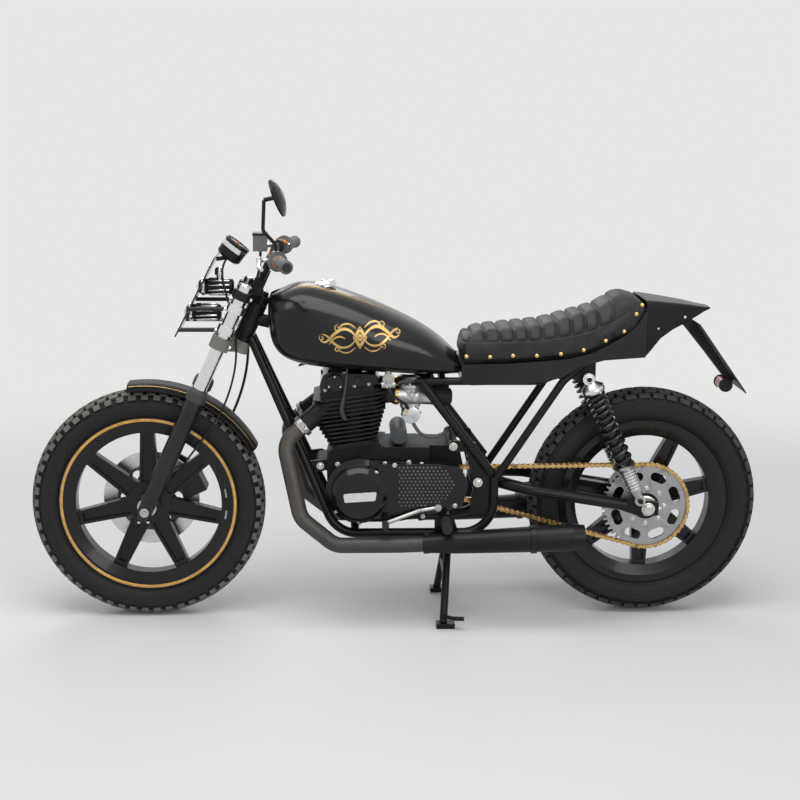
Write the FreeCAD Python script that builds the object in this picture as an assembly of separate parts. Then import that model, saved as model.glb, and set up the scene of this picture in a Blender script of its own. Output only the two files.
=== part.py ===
"""Cafe racer motorcycle: twin cylinder engine in a tube frame, on its centre stand.

Millimetres. +X is forward, +Y is the rider's left, +Z is up. The origin lies on the
floor, on the centre plane, midway between the foremost and rearmost points of the tyres.
"""
import FreeCAD, Part
import math
import os

V = FreeCAD.Vector
ORIGIN = V(0, 0, 0)
ACROSS = V(0, 1, 0)
UP = V(0, 0, 1)

# Overall layout
wheelbase = 1420.0
rake_degrees = 24.7
fork_offset = 50.0
fork_half_spacing = 92.0
swingarm_length = 492.5
pivot_rise = 80.0
rear_tyre_lift = 4.0
running_gap = 0.05
seat_gap = 0.3

# Tyres and wheels, each as radius and half width
front_tyre_radius = 332.0
front_tyre_half_width = 50.0
front_tyre_depth = 91.0
front_bead_radius = front_tyre_radius - front_tyre_depth
front_rim_half_width = 33.0
rear_tyre_radius = 330.0
rear_tyre_half_width = 57.0
rear_tyre_depth = 101.5
rear_bead_radius = rear_tyre_radius - rear_tyre_depth
rear_rim_half_width = 38.0
lug_height = 8.5
lug_gap = 15.0
lugs_per_side = 34
rim_flange_height = 14.0
rim_flange_thickness = 5.0
rim_depth = 34.0
spoke_count = 7
spoke_root_width = 56.0
spoke_tip_width = 40.0
spoke_thickness = 28.0
spoke_rib = 8.0
spoke_web = 8.0
front_axle_radius = 8.5
rear_axle_radius = 10.0

# Brakes
disc_radius = 138.0
disc_thickness = 6.0
disc_face = 40.0
drum_radius = 92.0

# Chain drive
chain_pitch = 15.875
chain_links = 104
rear_teeth = 48
front_teeth = 16
chain_centre = 74.0
sprocket_thickness = 7.0
chain_inner_half = 4.9
link_plate = 2.0
link_height = 13.0
roller_size = 7.0
output_rise_degrees = 7.7

# Steering
head_tube_radius = 26.0
head_tube_low = 544.0
head_tube_high = 656.0
stem_radius = 12.5
yoke_gap = 2.0
lower_yoke_thickness = 34.0
upper_yoke_thickness = 24.0
yoke_arm_half_width = 14.0
fork_tube_radius = 19.0
fork_tube_top = head_tube_high + 42.0
slider_radius = 25.0
slider_top = 372.0
slider_bottom = -30.0
slider_bore_depth = 120.0
bar_radius = 11.1
bar_half_width = 319.0
grip_length = 113.0
grip_radius = 17.0

# Frame tubes
cradle_radius = 13.0
cradle_half_width = 100.0
backbone_radius = 18.0
stay_radius = 11.0
cradle_drop = 122.0
pivot_bolt_radius = 8.0
swingarm_radius = 17.0
swingarm_half_width = 105.0

# Engine
crank_offset = V(333, 0, -27)
crankcase_half_width = 84.0
cylinder_tilt_degrees = 8.0
fin_pitch = 12.0
fin_thickness = 4.0
cylinder_fins = 7
head_fins = 5
bore_spacing = 96.0
header_radius = 22.0
header_half_width = 155.0
muffler_front_radius = 31.0
muffler_rear_radius = 39.0
muffler_length = 327.0

port_half_spacing = 76.0
port_splay = 18.0
carb_half_spacing = 62.0
deck_offset = V(10, 0, 128)
barrel_height = 92.0
head_height = 76.0

# Shock absorbers
shock_half_width = 130.0
spring_radius = 29.0
spring_wire = 4.5
spring_turns = 11

# Bodywork
tank_tunnel_half = 30.0
seat_half_width = 114.0
shell_wall = 4.0
mudguard_gap = 19.0
mudguard_wall = 3.0

# Centre stand
stand_pin_radius = 8.0
stand_pin_drop = 43.0
stand_foot_ahead = 20.0
stand_foot_half = 150.0

rake = math.radians(rake_degrees)
front_axle = V((wheelbase + rear_tyre_radius - front_tyre_radius) / 2, 0, front_tyre_radius)
rear_axle = V(front_axle.x - wheelbase, 0, rear_tyre_radius + rear_tyre_lift)
pivot = rear_axle + V(math.sqrt(swingarm_length ** 2 - pivot_rise ** 2), 0, pivot_rise)
crank = pivot + crank_offset
cradle_floor = crank.z - cradle_drop
steer_up = V(-math.sin(rake), 0, math.cos(rake))
steer_back = V(-math.cos(rake), 0, -math.sin(rake))
cylinder_tilt = math.radians(cylinder_tilt_degrees)
deck = crank + deck_offset
shock_foot = rear_axle + V(29.5, shock_half_width, 32.7)
shock_top = rear_axle + V(187, shock_half_width, 382)
stand_cross = V(pivot.x + 75, 0, cradle_floor)
stand_pivot = stand_cross - UP * stand_pin_drop
rear_pitch_radius = chain_pitch / (2 * math.sin(math.pi / rear_teeth))
front_pitch_radius = chain_pitch / (2 * math.sin(math.pi / front_teeth))


def on_fork(height, side):
    """Point on a fork leg's axis, at a height measured along the leg from the axle."""
    return front_axle + steer_up * height + ACROSS * (side * fork_half_spacing)


def on_steering(height, back=0.0):
    """Point on the steering axis at the same height, or further back than it."""
    return front_axle + steer_back * (fork_offset + back) + steer_up * height


def centre_distance():
    """Distance between the sprockets at which the chain closes with whole links."""
    wanted = chain_pitch * chain_links
    low, high = rear_pitch_radius, wanted / 2
    for _ in range(60):
        distance = (low + high) / 2
        lean = math.asin((rear_pitch_radius - front_pitch_radius) / distance)
        length = 2 * distance * math.cos(lean)
        length += rear_pitch_radius * (math.pi + 2 * lean)
        length += front_pitch_radius * (math.pi - 2 * lean)
        if length > wanted:
            high = distance
        else:
            low = distance
    return distance


sprocket_distance = centre_distance()
output_rise = math.radians(output_rise_degrees)
output_shaft = rear_axle + V(math.cos(output_rise), 0, math.sin(output_rise)) * sprocket_distance


def save(name, *solids):
    """Write one sub-part as one file."""
    shape = solids[0] if len(solids) == 1 else Part.makeCompound(list(solids))
    shape.exportStep("parts/" + name + ".step")


def unit(vector):
    return vector * (1.0 / vector.Length)


def mirrored(shape):
    """The same piece on the rider's right."""
    return shape.mirror(ORIGIN, ACROSS)


def pair(shape):
    return [shape, mirrored(shape)]


def fused(*shapes):
    first, rest = shapes[0], list(shapes[1:])
    return first.fuse(rest) if rest else first


def rod(start, end, radius):
    """Solid cylinder between two points."""
    return Part.makeCylinder(radius, (end - start).Length, start, end - start)


def barrel(centre, direction, length, radius):
    """Solid cylinder about its centre."""
    way = unit(direction)
    return rod(centre - way * (length / 2), centre + way * (length / 2), radius)


def swept(points, radius, bends):
    """Round bar along straight runs joined by tangent arcs, one bend radius to a corner."""
    pieces, start = [], points[0]
    for before, corner, after, bend in zip(points, points[1:], points[2:], bends):
        into, out = unit(corner - before), unit(after - corner)
        turn, axis = into.getAngle(out), unit(into.cross(out))
        reach = bend * math.tan(turn / 2)
        first = corner - into * reach
        disc = Part.Face(Part.Wire(Part.makeCircle(radius, first, into)))
        pieces.append(rod(start, first, radius))
        pieces.append(disc.revolve(first + axis.cross(into) * bend, axis, math.degrees(turn)))
        start = corner + out * reach
    pieces.append(rod(start, points[-1], radius))
    return fused(*pieces).removeSplitter()


def bent_tube(points, radius, bend):
    """Bar or tube, solid inside, with one bend radius throughout."""
    return swept(points, radius, [bend] * (len(points) - 2))


def side_plate(outline, inner, outer):
    """Flat plate in the side view, between two distances from the centre plane."""
    corners = [V(x, inner, z) for x, z in outline]
    face = Part.Face(Part.makePolygon(corners + [corners[0]]))
    return face.extrude(V(0, outer - inner, 0))


def turned(outline, centre):
    """Solid of revolution about a lateral axis, from (across, radius) points."""
    corners = [V(0, across, radius) for across, radius in outline]
    face = Part.Face(Part.makePolygon(corners + [corners[0]]))
    solid = face.revolve(ORIGIN, ACROSS, 360)
    return solid.translated(centre)


def turned_about(outline, base, direction):
    """Solid of revolution about any axis, from (along, radius) points."""
    corners = [V(radius, 0, along) for along, radius in outline]
    face = Part.Face(Part.makePolygon(corners + [corners[0]]))
    solid = face.revolve(ORIGIN, UP, 360)
    solid.Placement = FreeCAD.Placement(base, FreeCAD.Rotation(UP, direction))
    return solid


def block(low, high):
    return Part.makeBox(high.x - low.x, high.y - low.y, high.z - low.z, low)


def lofted(sections):
    """Closed body through a row of closed wires."""
    return Part.makeLoft(sections, True, False)


def tyre(radius, half_width, bead_radius, rim_half_width, centre):
    """Tyre with staggered tread lugs, one row to each side of the centre line."""
    bead = bead_radius + seat_gap
    inside = rim_half_width - rim_flange_thickness - seat_gap
    flange = bead_radius + rim_flange_height
    depth = radius - bead_radius
    crown = [(0.0, radius), (0.48 * half_width, radius - 0.035 * depth),
             (0.86 * half_width, radius - 0.16 * depth), (0.99 * half_width, radius - 0.32 * depth)]
    wall = [(half_width, radius - 0.46 * depth), (0.93 * half_width, radius - 0.66 * depth),
            (inside + 6, flange + 2.5), (inside, flange), (inside, bead)]
    half = crown + wall
    carcass = turned(half + [(-y, r) for y, r in reversed(half[1:])], ORIGIN)
    floor = [(y * 0.985, r - lug_height) for y, r in crown]
    ring_half = [(2.0, floor[0][1])] + floor[1:] + [(half_width + 9, floor[-1][1] - 2),
                                                   (half_width + 9, radius + 9), (2.0, radius + 9)]
    step = 360.0 / lugs_per_side
    cutters = []
    for side in (1, -1):
        band = turned([(side * y, r) for y, r in ring_half], ORIGIN)
        slots = []
        for k in range(lugs_per_side):
            slot = block(V(-lug_gap / 2, -half_width - 12, radius / 2),
                         V(lug_gap / 2, half_width + 12, radius + 12))
            slot.rotate(ORIGIN, ACROSS, step * (k + (0.25 if side > 0 else 0.75)))
            slots.append(slot)
        cutters.append(band.common(Part.makeCompound(slots)))
    treaded = carcass.cut(Part.makeCompound(cutters))
    return treaded.translated(centre)


def spoke(root, tip):
    """One cast spoke: two ribs along its edges and a thin web between them."""
    def outline(inset, low, high):
        return [V(-spoke_root_width / 2 + inset, 0, low), V(spoke_root_width / 2 - inset, 0, low),
                V(spoke_tip_width / 2 - inset, 0, high), V(-spoke_tip_width / 2 + inset, 0, high)]

    def slab(points, low, high):
        face = Part.Face(Part.makePolygon(points + [points[0]]))
        return face.translated(V(0, low, 0)).extrude(V(0, high - low, 0))

    half = spoke_thickness / 2
    body = slab(outline(0, root, tip), -half, half)
    pocket = outline(spoke_rib, root + 34, tip - 16)
    return body.cut([slab(pocket, spoke_web / 2, half + 1), slab(pocket, -half - 1, -spoke_web / 2)])


def cast_wheel(bead_radius, rim_half_width, hub, axle_radius, first_spoke, centre):
    """Cast alloy wheel: rim, ribbed spokes and a turned hub in one piece."""
    flange = bead_radius + rim_flange_height
    inner = bead_radius - rim_depth
    seat = rim_half_width - rim_flange_thickness
    half = [(seat, bead_radius), (seat, flange), (rim_half_width, flange),
            (rim_half_width, bead_radius - 6), (0.62 * rim_half_width, inner)]
    rim = turned([(-y, r) for y, r in half] + [(y, r) for y, r in reversed(half)], ORIGIN)
    arms = []
    for k in range(spoke_count):
        arm = spoke(26.0, inner + 4)
        arm.rotate(ORIGIN, ACROSS, first_spoke + k * 360.0 / spoke_count)
        arms.append(arm)
    body = turned(hub, ORIGIN)
    whole = fused(rim, body, *arms)
    bore = barrel(ORIGIN, ACROSS, 400, axle_radius + running_gap)
    return whole.cut(bore).removeSplitter().translated(centre)


def wheels():
    front_hub = [(-disc_face, 0), (-disc_face, 50), (-disc_face + 6, 50), (-disc_face + 9, 33),
                 (30, 33), (34, 28), (44, 28), (44, 0)]
    rear_hub = [(-58, 0), (-58, drum_radius), (-18, drum_radius), (-10, 46), (34, 46), (50, 60),
                (chain_centre - sprocket_thickness / 2, 60),
                (chain_centre - sprocket_thickness / 2, 0)]
    save("front_tyre", tyre(front_tyre_radius, front_tyre_half_width, front_bead_radius,
                            front_rim_half_width, front_axle))
    save("rear_tyre", tyre(rear_tyre_radius, rear_tyre_half_width, rear_bead_radius,
                           rear_rim_half_width, rear_axle))
    save("front_wheel_casting", cast_wheel(front_bead_radius, front_rim_half_width, front_hub,
                                           front_axle_radius, 0.0, front_axle))
    save("rear_wheel_casting", cast_wheel(rear_bead_radius, rear_rim_half_width, rear_hub,
                                          rear_axle_radius, 180.0, rear_axle))


def front_disc():
    """Drilled brake disc on the right of the front hub."""
    low = -disc_face - disc_thickness
    ring = turned([(low, 20), (low, disc_radius), (-disc_face, disc_radius), (-disc_face, 20)],
                  ORIGIN)
    windows = []
    for k in range(6):
        hole = barrel(V(0, low + disc_thickness / 2, 73), ACROSS, 3 * disc_thickness, 17)
        hole.rotate(ORIGIN, ACROSS, k * 60 + 30)
        windows.append(hole)
    save("front_disc", ring.cut(windows).translated(front_axle))


def rear_sprocket():
    """Toothed ring with oval windows, bolted to the hub's left face."""
    root = rear_pitch_radius - 5.4
    tip = rear_pitch_radius + 5.0
    low = chain_centre - sprocket_thickness / 2
    step = 2 * math.pi / rear_teeth
    corners = []
    for k in range(rear_teeth):
        middle = (k + 0.5) * step
        for share, radius in ((-0.25, root), (-0.10, tip), (0.10, tip), (0.25, root)):
            angle = middle + share * step
            corners.append(V(radius * math.sin(angle), low, radius * math.cos(angle)))
    face = Part.Face(Part.makePolygon(corners + [corners[0]]))
    plate = face.extrude(V(0, sprocket_thickness, 0))
    cuts = [barrel(V(0, chain_centre, 0), ACROSS, 60, 38)]
    for k in range(8):
        window = fused(barrel(V(-11, chain_centre, 88), ACROSS, 30, 13),
                       barrel(V(11, chain_centre, 88), ACROSS, 30, 13),
                       block(V(-11, chain_centre - 15, 75), V(11, chain_centre + 15, 101)))
        window.rotate(ORIGIN, ACROSS, k * 45 + 22.5)
        cuts.append(window)
    save("rear_sprocket", plate.cut(cuts).translated(rear_axle))


def deck_point(x, y, z):
    """Point given in the tilted cylinder block's own axes."""
    c, s = math.cos(cylinder_tilt), math.sin(cylinder_tilt)
    return deck + V(c * x + s * z, y, c * z - s * x)


def chain_station(distance):
    """Place on the chain's pitch line, and the way it runs there, seen from the left.

    Distances start over the rear sprocket at its top tangent point and run forward along
    the upper run, round the front sprocket, back below and round the rear sprocket.
    """
    lean = math.asin((rear_pitch_radius - front_pitch_radius) / sprocket_distance)
    run = sprocket_distance * math.cos(lean)
    front_wrap = front_pitch_radius * (math.pi - 2 * lean)
    distance = distance % (chain_pitch * chain_links)
    top_way = output_rise - lean
    if distance < run:
        angle = math.pi / 2 + top_way
        start = rear_axle + V(math.cos(angle), 0, math.sin(angle)) * rear_pitch_radius
        return start + V(math.cos(top_way), 0, math.sin(top_way)) * distance, top_way
    distance -= run
    if distance < front_wrap:
        way = top_way - distance / front_pitch_radius
        angle = way + math.pi / 2
        return output_shaft + V(math.cos(angle), 0, math.sin(angle)) * front_pitch_radius, way
    distance -= front_wrap
    bottom_way = output_rise + lean + math.pi
    if distance < run:
        angle = bottom_way + math.pi / 2
        start = output_shaft + V(math.cos(angle), 0, math.sin(angle)) * front_pitch_radius
        return start + V(math.cos(bottom_way), 0, math.sin(bottom_way)) * distance, bottom_way
    distance -= run
    way = bottom_way - distance / rear_pitch_radius
    angle = way + math.pi / 2
    return rear_axle + V(math.cos(angle), 0, math.sin(angle)) * rear_pitch_radius, way


def loop_band(offset):
    """Closed outline parallel to the chain's pitch line."""
    lean = math.asin((rear_pitch_radius - front_pitch_radius) / sprocket_distance)

    def at(centre, radius, angle):
        return centre + V(math.cos(angle), 0, math.sin(angle)) * radius

    big, small = rear_pitch_radius + offset, front_pitch_radius + offset
    top, bottom = output_rise - lean + math.pi / 2, output_rise + lean - math.pi / 2
    a, b = at(rear_axle, big, top), at(output_shaft, small, top)
    c, d = at(output_shaft, small, bottom), at(rear_axle, big, bottom)
    ahead, behind = at(output_shaft, small, output_rise), at(rear_axle, big, output_rise + math.pi)
    return Part.Wire([Part.LineSegment(a, b).toShape(), Part.Arc(b, ahead, c).toShape(),
                      Part.LineSegment(c, d).toShape(), Part.Arc(d, behind, a).toShape()])


def first_pin():
    """Distance along the chain from its start to the first pin that meets a tooth gap."""
    lean = math.asin((rear_pitch_radius - front_pitch_radius) / sprocket_distance)
    teeth = (output_rise - lean) / (2 * math.pi / rear_teeth)
    return (math.ceil(-teeth) + teeth) * chain_pitch


def drive_chain():
    """Roller chain as one closed loop: two bands of plates, outer plates and rollers."""
    half = link_height / 2
    loop = Part.Face(loop_band(half)).cut(Part.Face(loop_band(-half)))
    band = loop.Faces[0].extrude(V(0, link_plate, 0))
    pieces = [band.translated(V(0, chain_centre - chain_inner_half - link_plate, 0))]
    first = first_pin()
    reach = chain_inner_half + 2 * link_plate
    for k in range(0, chain_links, 2):
        centre, way = chain_station(first + k * chain_pitch)
        size = V(roller_size / 2, chain_inner_half + link_plate / 2, roller_size / 2)
        roller = block(size * -1, size)
        roller.rotate(ORIGIN, ACROSS, -math.degrees(way))
        pieces.append(roller.translated(centre + ACROSS * chain_centre))
        middle, along = chain_station(first + (k + 0.5) * chain_pitch)
        for side in (1, -1):
            low, high = sorted((side * (chain_inner_half + 0.9 * link_plate), side * reach))
            plate = block(V(-0.86 * chain_pitch, low, -0.4 * link_height),
                          V(0.86 * chain_pitch, high, 0.4 * link_height))
            plate.rotate(ORIGIN, ACROSS, -math.degrees(along))
            pieces.append(plate.translated(middle + ACROSS * chain_centre))
    save("drive_chain", band.translated(V(0, chain_centre + chain_inner_half, 0)).fuse(pieces))


def side_hull(circles, inner, outer):
    """Flat plate whose outline wraps a row of (point, radius) circles like a belt."""
    pieces = []
    for (a, r0), (b, r1) in zip(circles, circles[1:]):
        along = math.atan2(b.z - a.z, b.x - a.x)
        spread = math.acos((r0 - r1) / math.hypot(b.x - a.x, b.z - a.z))
        corners = []
        for p, r, sign in ((a, r0, 1), (b, r1, 1), (b, r1, -1), (a, r0, -1)):
            angle = along + sign * spread
            corners.append((p.x + r * math.cos(angle), p.z + r * math.sin(angle)))
        pieces.append(side_plate(corners, inner, outer))
    for p, r in circles:
        pieces.append(rod(V(p.x, inner, p.z), V(p.x, outer, p.z), r))
    return fused(*pieces).removeSplitter()


def scaled(point, factors):
    return V(point.x * factors.x, point.y * factors.y, point.z * factors.z)


def around(centre, points):
    """Side-view outline given relative to a centre."""
    return [(centre.x + x, centre.z + z) for x, z in points]


rail_start = pivot + V(148, 94, 288)
rail_height = rail_start.z
tank_floor = rail_height + 13.6
seat_rows = ((-174, 49, 112, 92), (-190, 50, 130, 104), (-280, 51, 140, 112), (-356, 55, 148, 114),
             (-408, 59, 155, 114), (-476, 66, 174, 114), (-532, 80, 190, 114), (-575, 101, 208, 113),
             (-603, 117, 230, 112), (-630, 134, 242, 111), (-658, 159, 236, 109), (-684, 203, 226, 106))
seat_end = seat_rows[-1][0]
cradle_front = V(crank.x + 64, cradle_half_width, cradle_floor)
cradle_back = pivot + V(-47, cradle_half_width, 14)
front_mount = crank + V(110, 0, 66)
rear_mount = crank + V(-265, 0, 127)
mount_radius = 14.0
mount_plate = 8.0


def down_tube_at(height):
    """Point on the left down tube's axis at a height above the floor."""
    top = on_steering(head_tube_low + 18, 20) + ACROSS * 20
    share = (top.z - height) / (top.z - cradle_front.z)
    return top + (cradle_front - top) * share


def seat_floor(x):
    """Height of the saddle's underside at a distance along the machine."""
    ends = [(row[0], rail_height + row[1]) for row in seat_rows]
    for (x0, z0), (x1, z1) in zip(ends, ends[1:]):
        if x1 <= x <= x0:
            return z0 + (z1 - z0) * (x - x0) / (x1 - x0)
    return ends[-1][1]


def frame():
    """Welded tube frame: head tube, backbone, twin cradle, seat rails, stays and plates."""
    head_tube = rod(on_steering(head_tube_low), on_steering(head_tube_high), head_tube_radius)
    backbone = bent_tube([on_steering(head_tube_high - 44, 8), pivot + V(285, 0, 372),
                          pivot + V(140, 0, 290)], backbone_radius, 160)
    cradle = bent_tube([down_tube_at(on_steering(head_tube_low + 18, 20).z), cradle_front,
                        V(cradle_back.x + 2, cradle_half_width, cradle_floor), cradle_back],
                       cradle_radius, 88)
    middle = rod(rail_start + V(14, 4, 0), pivot + V(-36, cradle_half_width, 28), cradle_radius)
    rail = bent_tube([rail_start + V(26, 0, 0), V(-395, 96, rail_height), V(-530, 96, rail_height + 58),
                      V(-636, 96, rail_height + 88)], stay_radius, 120)
    stay = bent_tube([cradle_back - UP * 12, V(-461, 99, rail_height + 4), V(-532, 97, rail_height + 57)],
                     stay_radius, 90)
    pivot_plate = side_plate(around(pivot, [(34, 88), (-2, 92), (-47, 18), (-47, -40), (-18, -100),
                                            (22, -100), (12, -10)]), 90, 90 + mount_plate)
    shock_plate = side_plate(around(shock_top, [(54, 0), (4, 39), (-24, 52), (-24, -11), (14, -18)]),
                             100, 106)
    shock_pin = rod(V(shock_top.x, 104, shock_top.z), shock_top + ACROSS * 20, 7)
    rear_plate = side_hull([(rear_mount, mount_radius + 3), (V(-209, 0, rear_mount.z), 13)],
                           80 + seat_gap, 92)
    tube = down_tube_at(front_mount.z)
    front_plate = side_hull([(front_mount, mount_radius + 3), (tube, 13)], 60 + seat_gap,
                            60 + seat_gap + mount_plate)
    stand_lug = side_hull([(stand_pivot, 15), (stand_cross, 12)], 48, 48 + mount_plate)
    left = [cradle, middle, rail, stay, pivot_plate, shock_plate, shock_pin, rear_plate,
            front_plate, stand_lug]
    crosses = [rod(V(x, -cradle_half_width, z), V(x, cradle_half_width, z), radius)
               for x, z, radius in ((rail_start.x - 14, rail_height, 12), (stand_cross.x, cradle_floor, 12),
                                    (crank.x + 12, cradle_floor, 12), (-395, rail_height, 10),
                                    (-618, rail_height + 84, 10))]
    tank_cross = rod(V(-125, -96, rail_height), V(-125, 96, rail_height), 10)
    tank_rest = block(V(-133, tank_tunnel_half + 1, rail_height), V(-117, 46, tank_floor))
    front_rest = barrel(on_steering(head_tube_high - 44, 118), ACROSS, 2 * (tank_tunnel_half - seat_gap), 10)
    seat_rest = block(V(-405, -40, rail_height), V(-385, 40, seat_floor(-385) - shell_wall - seat_gap))
    hump_rest = block(V(-624, -25, rail_height + 84),
                      V(-606, 25, seat_floor(-606) - shell_wall - seat_gap))
    saddle = block(V(crank.x, -30, cradle_floor), V(crank.x + 24, 30, crank.z - 106 - seat_gap))
    crosses += [tank_cross, front_rest, seat_rest, hump_rest] + pair(tank_rest)
    stand_pin = rod(stand_pivot - ACROSS * 62, stand_pivot + ACROSS * 62, stand_pin_radius)
    body = head_tube.fuse([backbone, saddle] + left + [mirrored(piece) for piece in left] + crosses)
    stem_bore = rod(on_steering(head_tube_low - 20), on_steering(head_tube_high + 20),
                    stem_radius + running_gap)
    bolt_hole = barrel(V(pivot.x, 0, pivot.z), ACROSS, 400, pivot_bolt_radius + seat_gap)
    save("frame", body.cut([stem_bore, bolt_hole]).fuse(stand_pin))


def swingarm():
    """Tubular rear fork with its pivot bolt and the plates that clamp the rear axle."""
    sleeve = rod(V(pivot.x, -84, pivot.z), V(pivot.x, 84, pivot.z), 20)
    bolt = rod(V(pivot.x, -104, pivot.z), V(pivot.x, 104, pivot.z), pivot_bolt_radius)
    brace = rod(pivot + V(-70, -70, -11), pivot + V(-70, 70, -11), 14)
    leg = bent_tube([pivot + V(0, 62, -1), pivot + V(-62, 64, -10),
                     pivot + V(-150, swingarm_half_width, -24),
                     rear_axle + V(64, swingarm_half_width, 12)], swingarm_radius, 60)
    low, high = swingarm_half_width - 7, swingarm_half_width + 7
    plate = side_plate(around(rear_axle, [(84, 26), (84, 0), (30, -19), (-30, -19), (-30, 19),
                                          (20, 26)]), low, high)
    ear = side_hull([(V(shock_foot.x, 0, rear_axle.z + 10), 20), (shock_foot, 14)], low, high)
    stud = rod(V(shock_foot.x, high - 2, shock_foot.z), shock_foot + ACROSS * 20, 7)
    bolt_head = rod(V(pivot.x, 98.3, pivot.z), V(pivot.x, 110, pivot.z), 14)
    sides = [leg, plate, stud, ear, bolt_head]
    body = sleeve.fuse([bolt, brace] + sides + [mirrored(piece) for piece in sides])
    axle_hole = barrel(rear_axle, ACROSS, 400, rear_axle_radius + seat_gap)
    save("swingarm", body.cut(axle_hole))


def rear_axle_set():
    """Rear axle with its nuts and spacers."""
    reach = swingarm_half_width + 7
    pieces = [barrel(rear_axle, ACROSS, 2 * reach + 28, rear_axle_radius)]
    spacer_end = swingarm_half_width - 7 - seat_gap
    for start, end in ((chain_centre - sprocket_thickness / 2 + 0.8, spacer_end), (-spacer_end, -76)):
        pieces.append(rod(rear_axle + ACROSS * start, rear_axle + ACROSS * end, 15))
    for side in (1, -1):
        pieces.append(rod(rear_axle + ACROSS * (side * (reach + seat_gap)),
                          rear_axle + ACROSS * (side * (reach + 12)), 15))
    save("rear_axle", fused(*pieces))


def rear_brake():
    """Drum brake back plate on the right of the rear hub, with its cam, arm and stay."""
    face = -63.0
    bore = rear_axle_radius + seat_gap
    plate = turned([(face - 12, bore), (face - 12, 40), (face - 6, 84), (face, 84), (face, bore)],
                   rear_axle)
    cam_at = rear_axle + V(48, 0, -36)
    cam = rod(cam_at + ACROSS * (face - 4), cam_at + ACROSS * (face - 24), 8)
    arm = side_hull([(cam_at, 9), (cam_at + V(-18, 0, -60), 6)], face - 24, face - 18)
    anchor = rear_axle + V(60, 0, 30)
    stay = side_hull([(anchor, 9), (pivot + V(-150, 0, -60), 8)], face - 18, face - 12)
    boss = rod(anchor + ACROSS * (face - 3), anchor + ACROSS * (face - 18), 9)
    save("rear_brake", fused(plate, cam, arm, boss, stay))


def shocks():
    """Two shock absorbers, each an alloy body with a coil spring round it."""
    way = unit(shock_foot - shock_top)
    length = (shock_foot - shock_top).Length
    collar = length - 114
    outline = [(8, 0), (8, 12), (18, 21), (26, 32), (42, 32), (42, 14), (collar, 14), (collar, 28),
               (collar + 8, 28), (collar + 16, 21), (length - 30, 19), (length - 14, 13),
               (length - 14, 0)]
    body = turned_about(outline, shock_top, way)
    eyes = [barrel(centre, ACROSS, 22, 15) for centre in (shock_top, shock_foot)]
    holes = [barrel(centre, ACROSS, 60, 7 + seat_gap) for centre in (shock_top, shock_foot)]
    save("shock_bodies", *pair(body.fuse(eyes).cut(holes)))
    start, end = 42 + seat_gap, collar - seat_gap
    turn = (end - start) / spring_turns
    inner = 14 + seat_gap
    ridges = [(start, inner)]
    for k in range(spring_turns):
        at = start + k * turn
        ridges += [(at, spring_radius - 2 * spring_wire), (at + turn / 2 - 2, spring_radius),
                   (at + turn / 2 + 2, spring_radius)]
    ridges += [(end, spring_radius - 2 * spring_wire), (end, inner)]
    save("shock_springs", *pair(turned_about(ridges, shock_top, way)))


def centre_stand():
    """Two splayed legs on one pivot tube, with flat feet and a foot lever on the left."""
    tube = rod(stand_pivot - ACROSS * 42, stand_pivot + ACROSS * 42, 14)
    foot = V(stand_pivot.x + stand_foot_ahead, stand_foot_half, 0)
    ankle = foot + UP * 12
    leg = rod(stand_pivot + ACROSS * 18, ankle, 11)
    shoe = block(foot + V(-32, -16, 0), foot + V(20, 16, 14))
    knee = stand_pivot + ACROSS * 18 + (ankle - stand_pivot - ACROSS * 18) * 0.45
    brace = rod(V(knee.x, -knee.y, knee.z), knee, 9)
    lever = bent_tube([ankle + V(0, 0, 20), ankle + V(-26, 24, 22), ankle + V(-56, 32, 24)], 6, 14)
    body = tube.fuse([leg, shoe, mirrored(leg), mirrored(shoe), brace, lever])
    bore = barrel(stand_pivot, ACROSS, 400, stand_pin_radius + running_gap)
    save("centre_stand", body.cut(bore))


def on_block(shape):
    """Move a piece from the tilted cylinder block's own axes to its place on the engine."""
    shape.rotate(ORIGIN, ACROSS, cylinder_tilt_degrees)
    return shape.translated(deck)


def fin(front, back, half_width, height, corner):
    """One cooling fin: a thin plate with its corners cut off."""
    outline = [(front, half_width - corner), (front - corner, half_width),
               (corner - back, half_width), (-back, half_width - corner),
               (-back, corner - half_width), (corner - back, -half_width),
               (front - corner, -half_width), (front, corner - half_width)]
    points = [V(x, y, height) for x, y in outline]
    return Part.Face(Part.makePolygon(points + [points[0]])).extrude(UP * fin_thickness)


port_end = V(132, port_half_spacing + port_splay, 84)
port_root = V(60, port_half_spacing, 128)
stub_end = V(-108, carb_half_spacing, 131)
carb_front = V(8, carb_half_spacing, 657)
carb_back = V(-92, carb_half_spacing - 6, 652)


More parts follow.
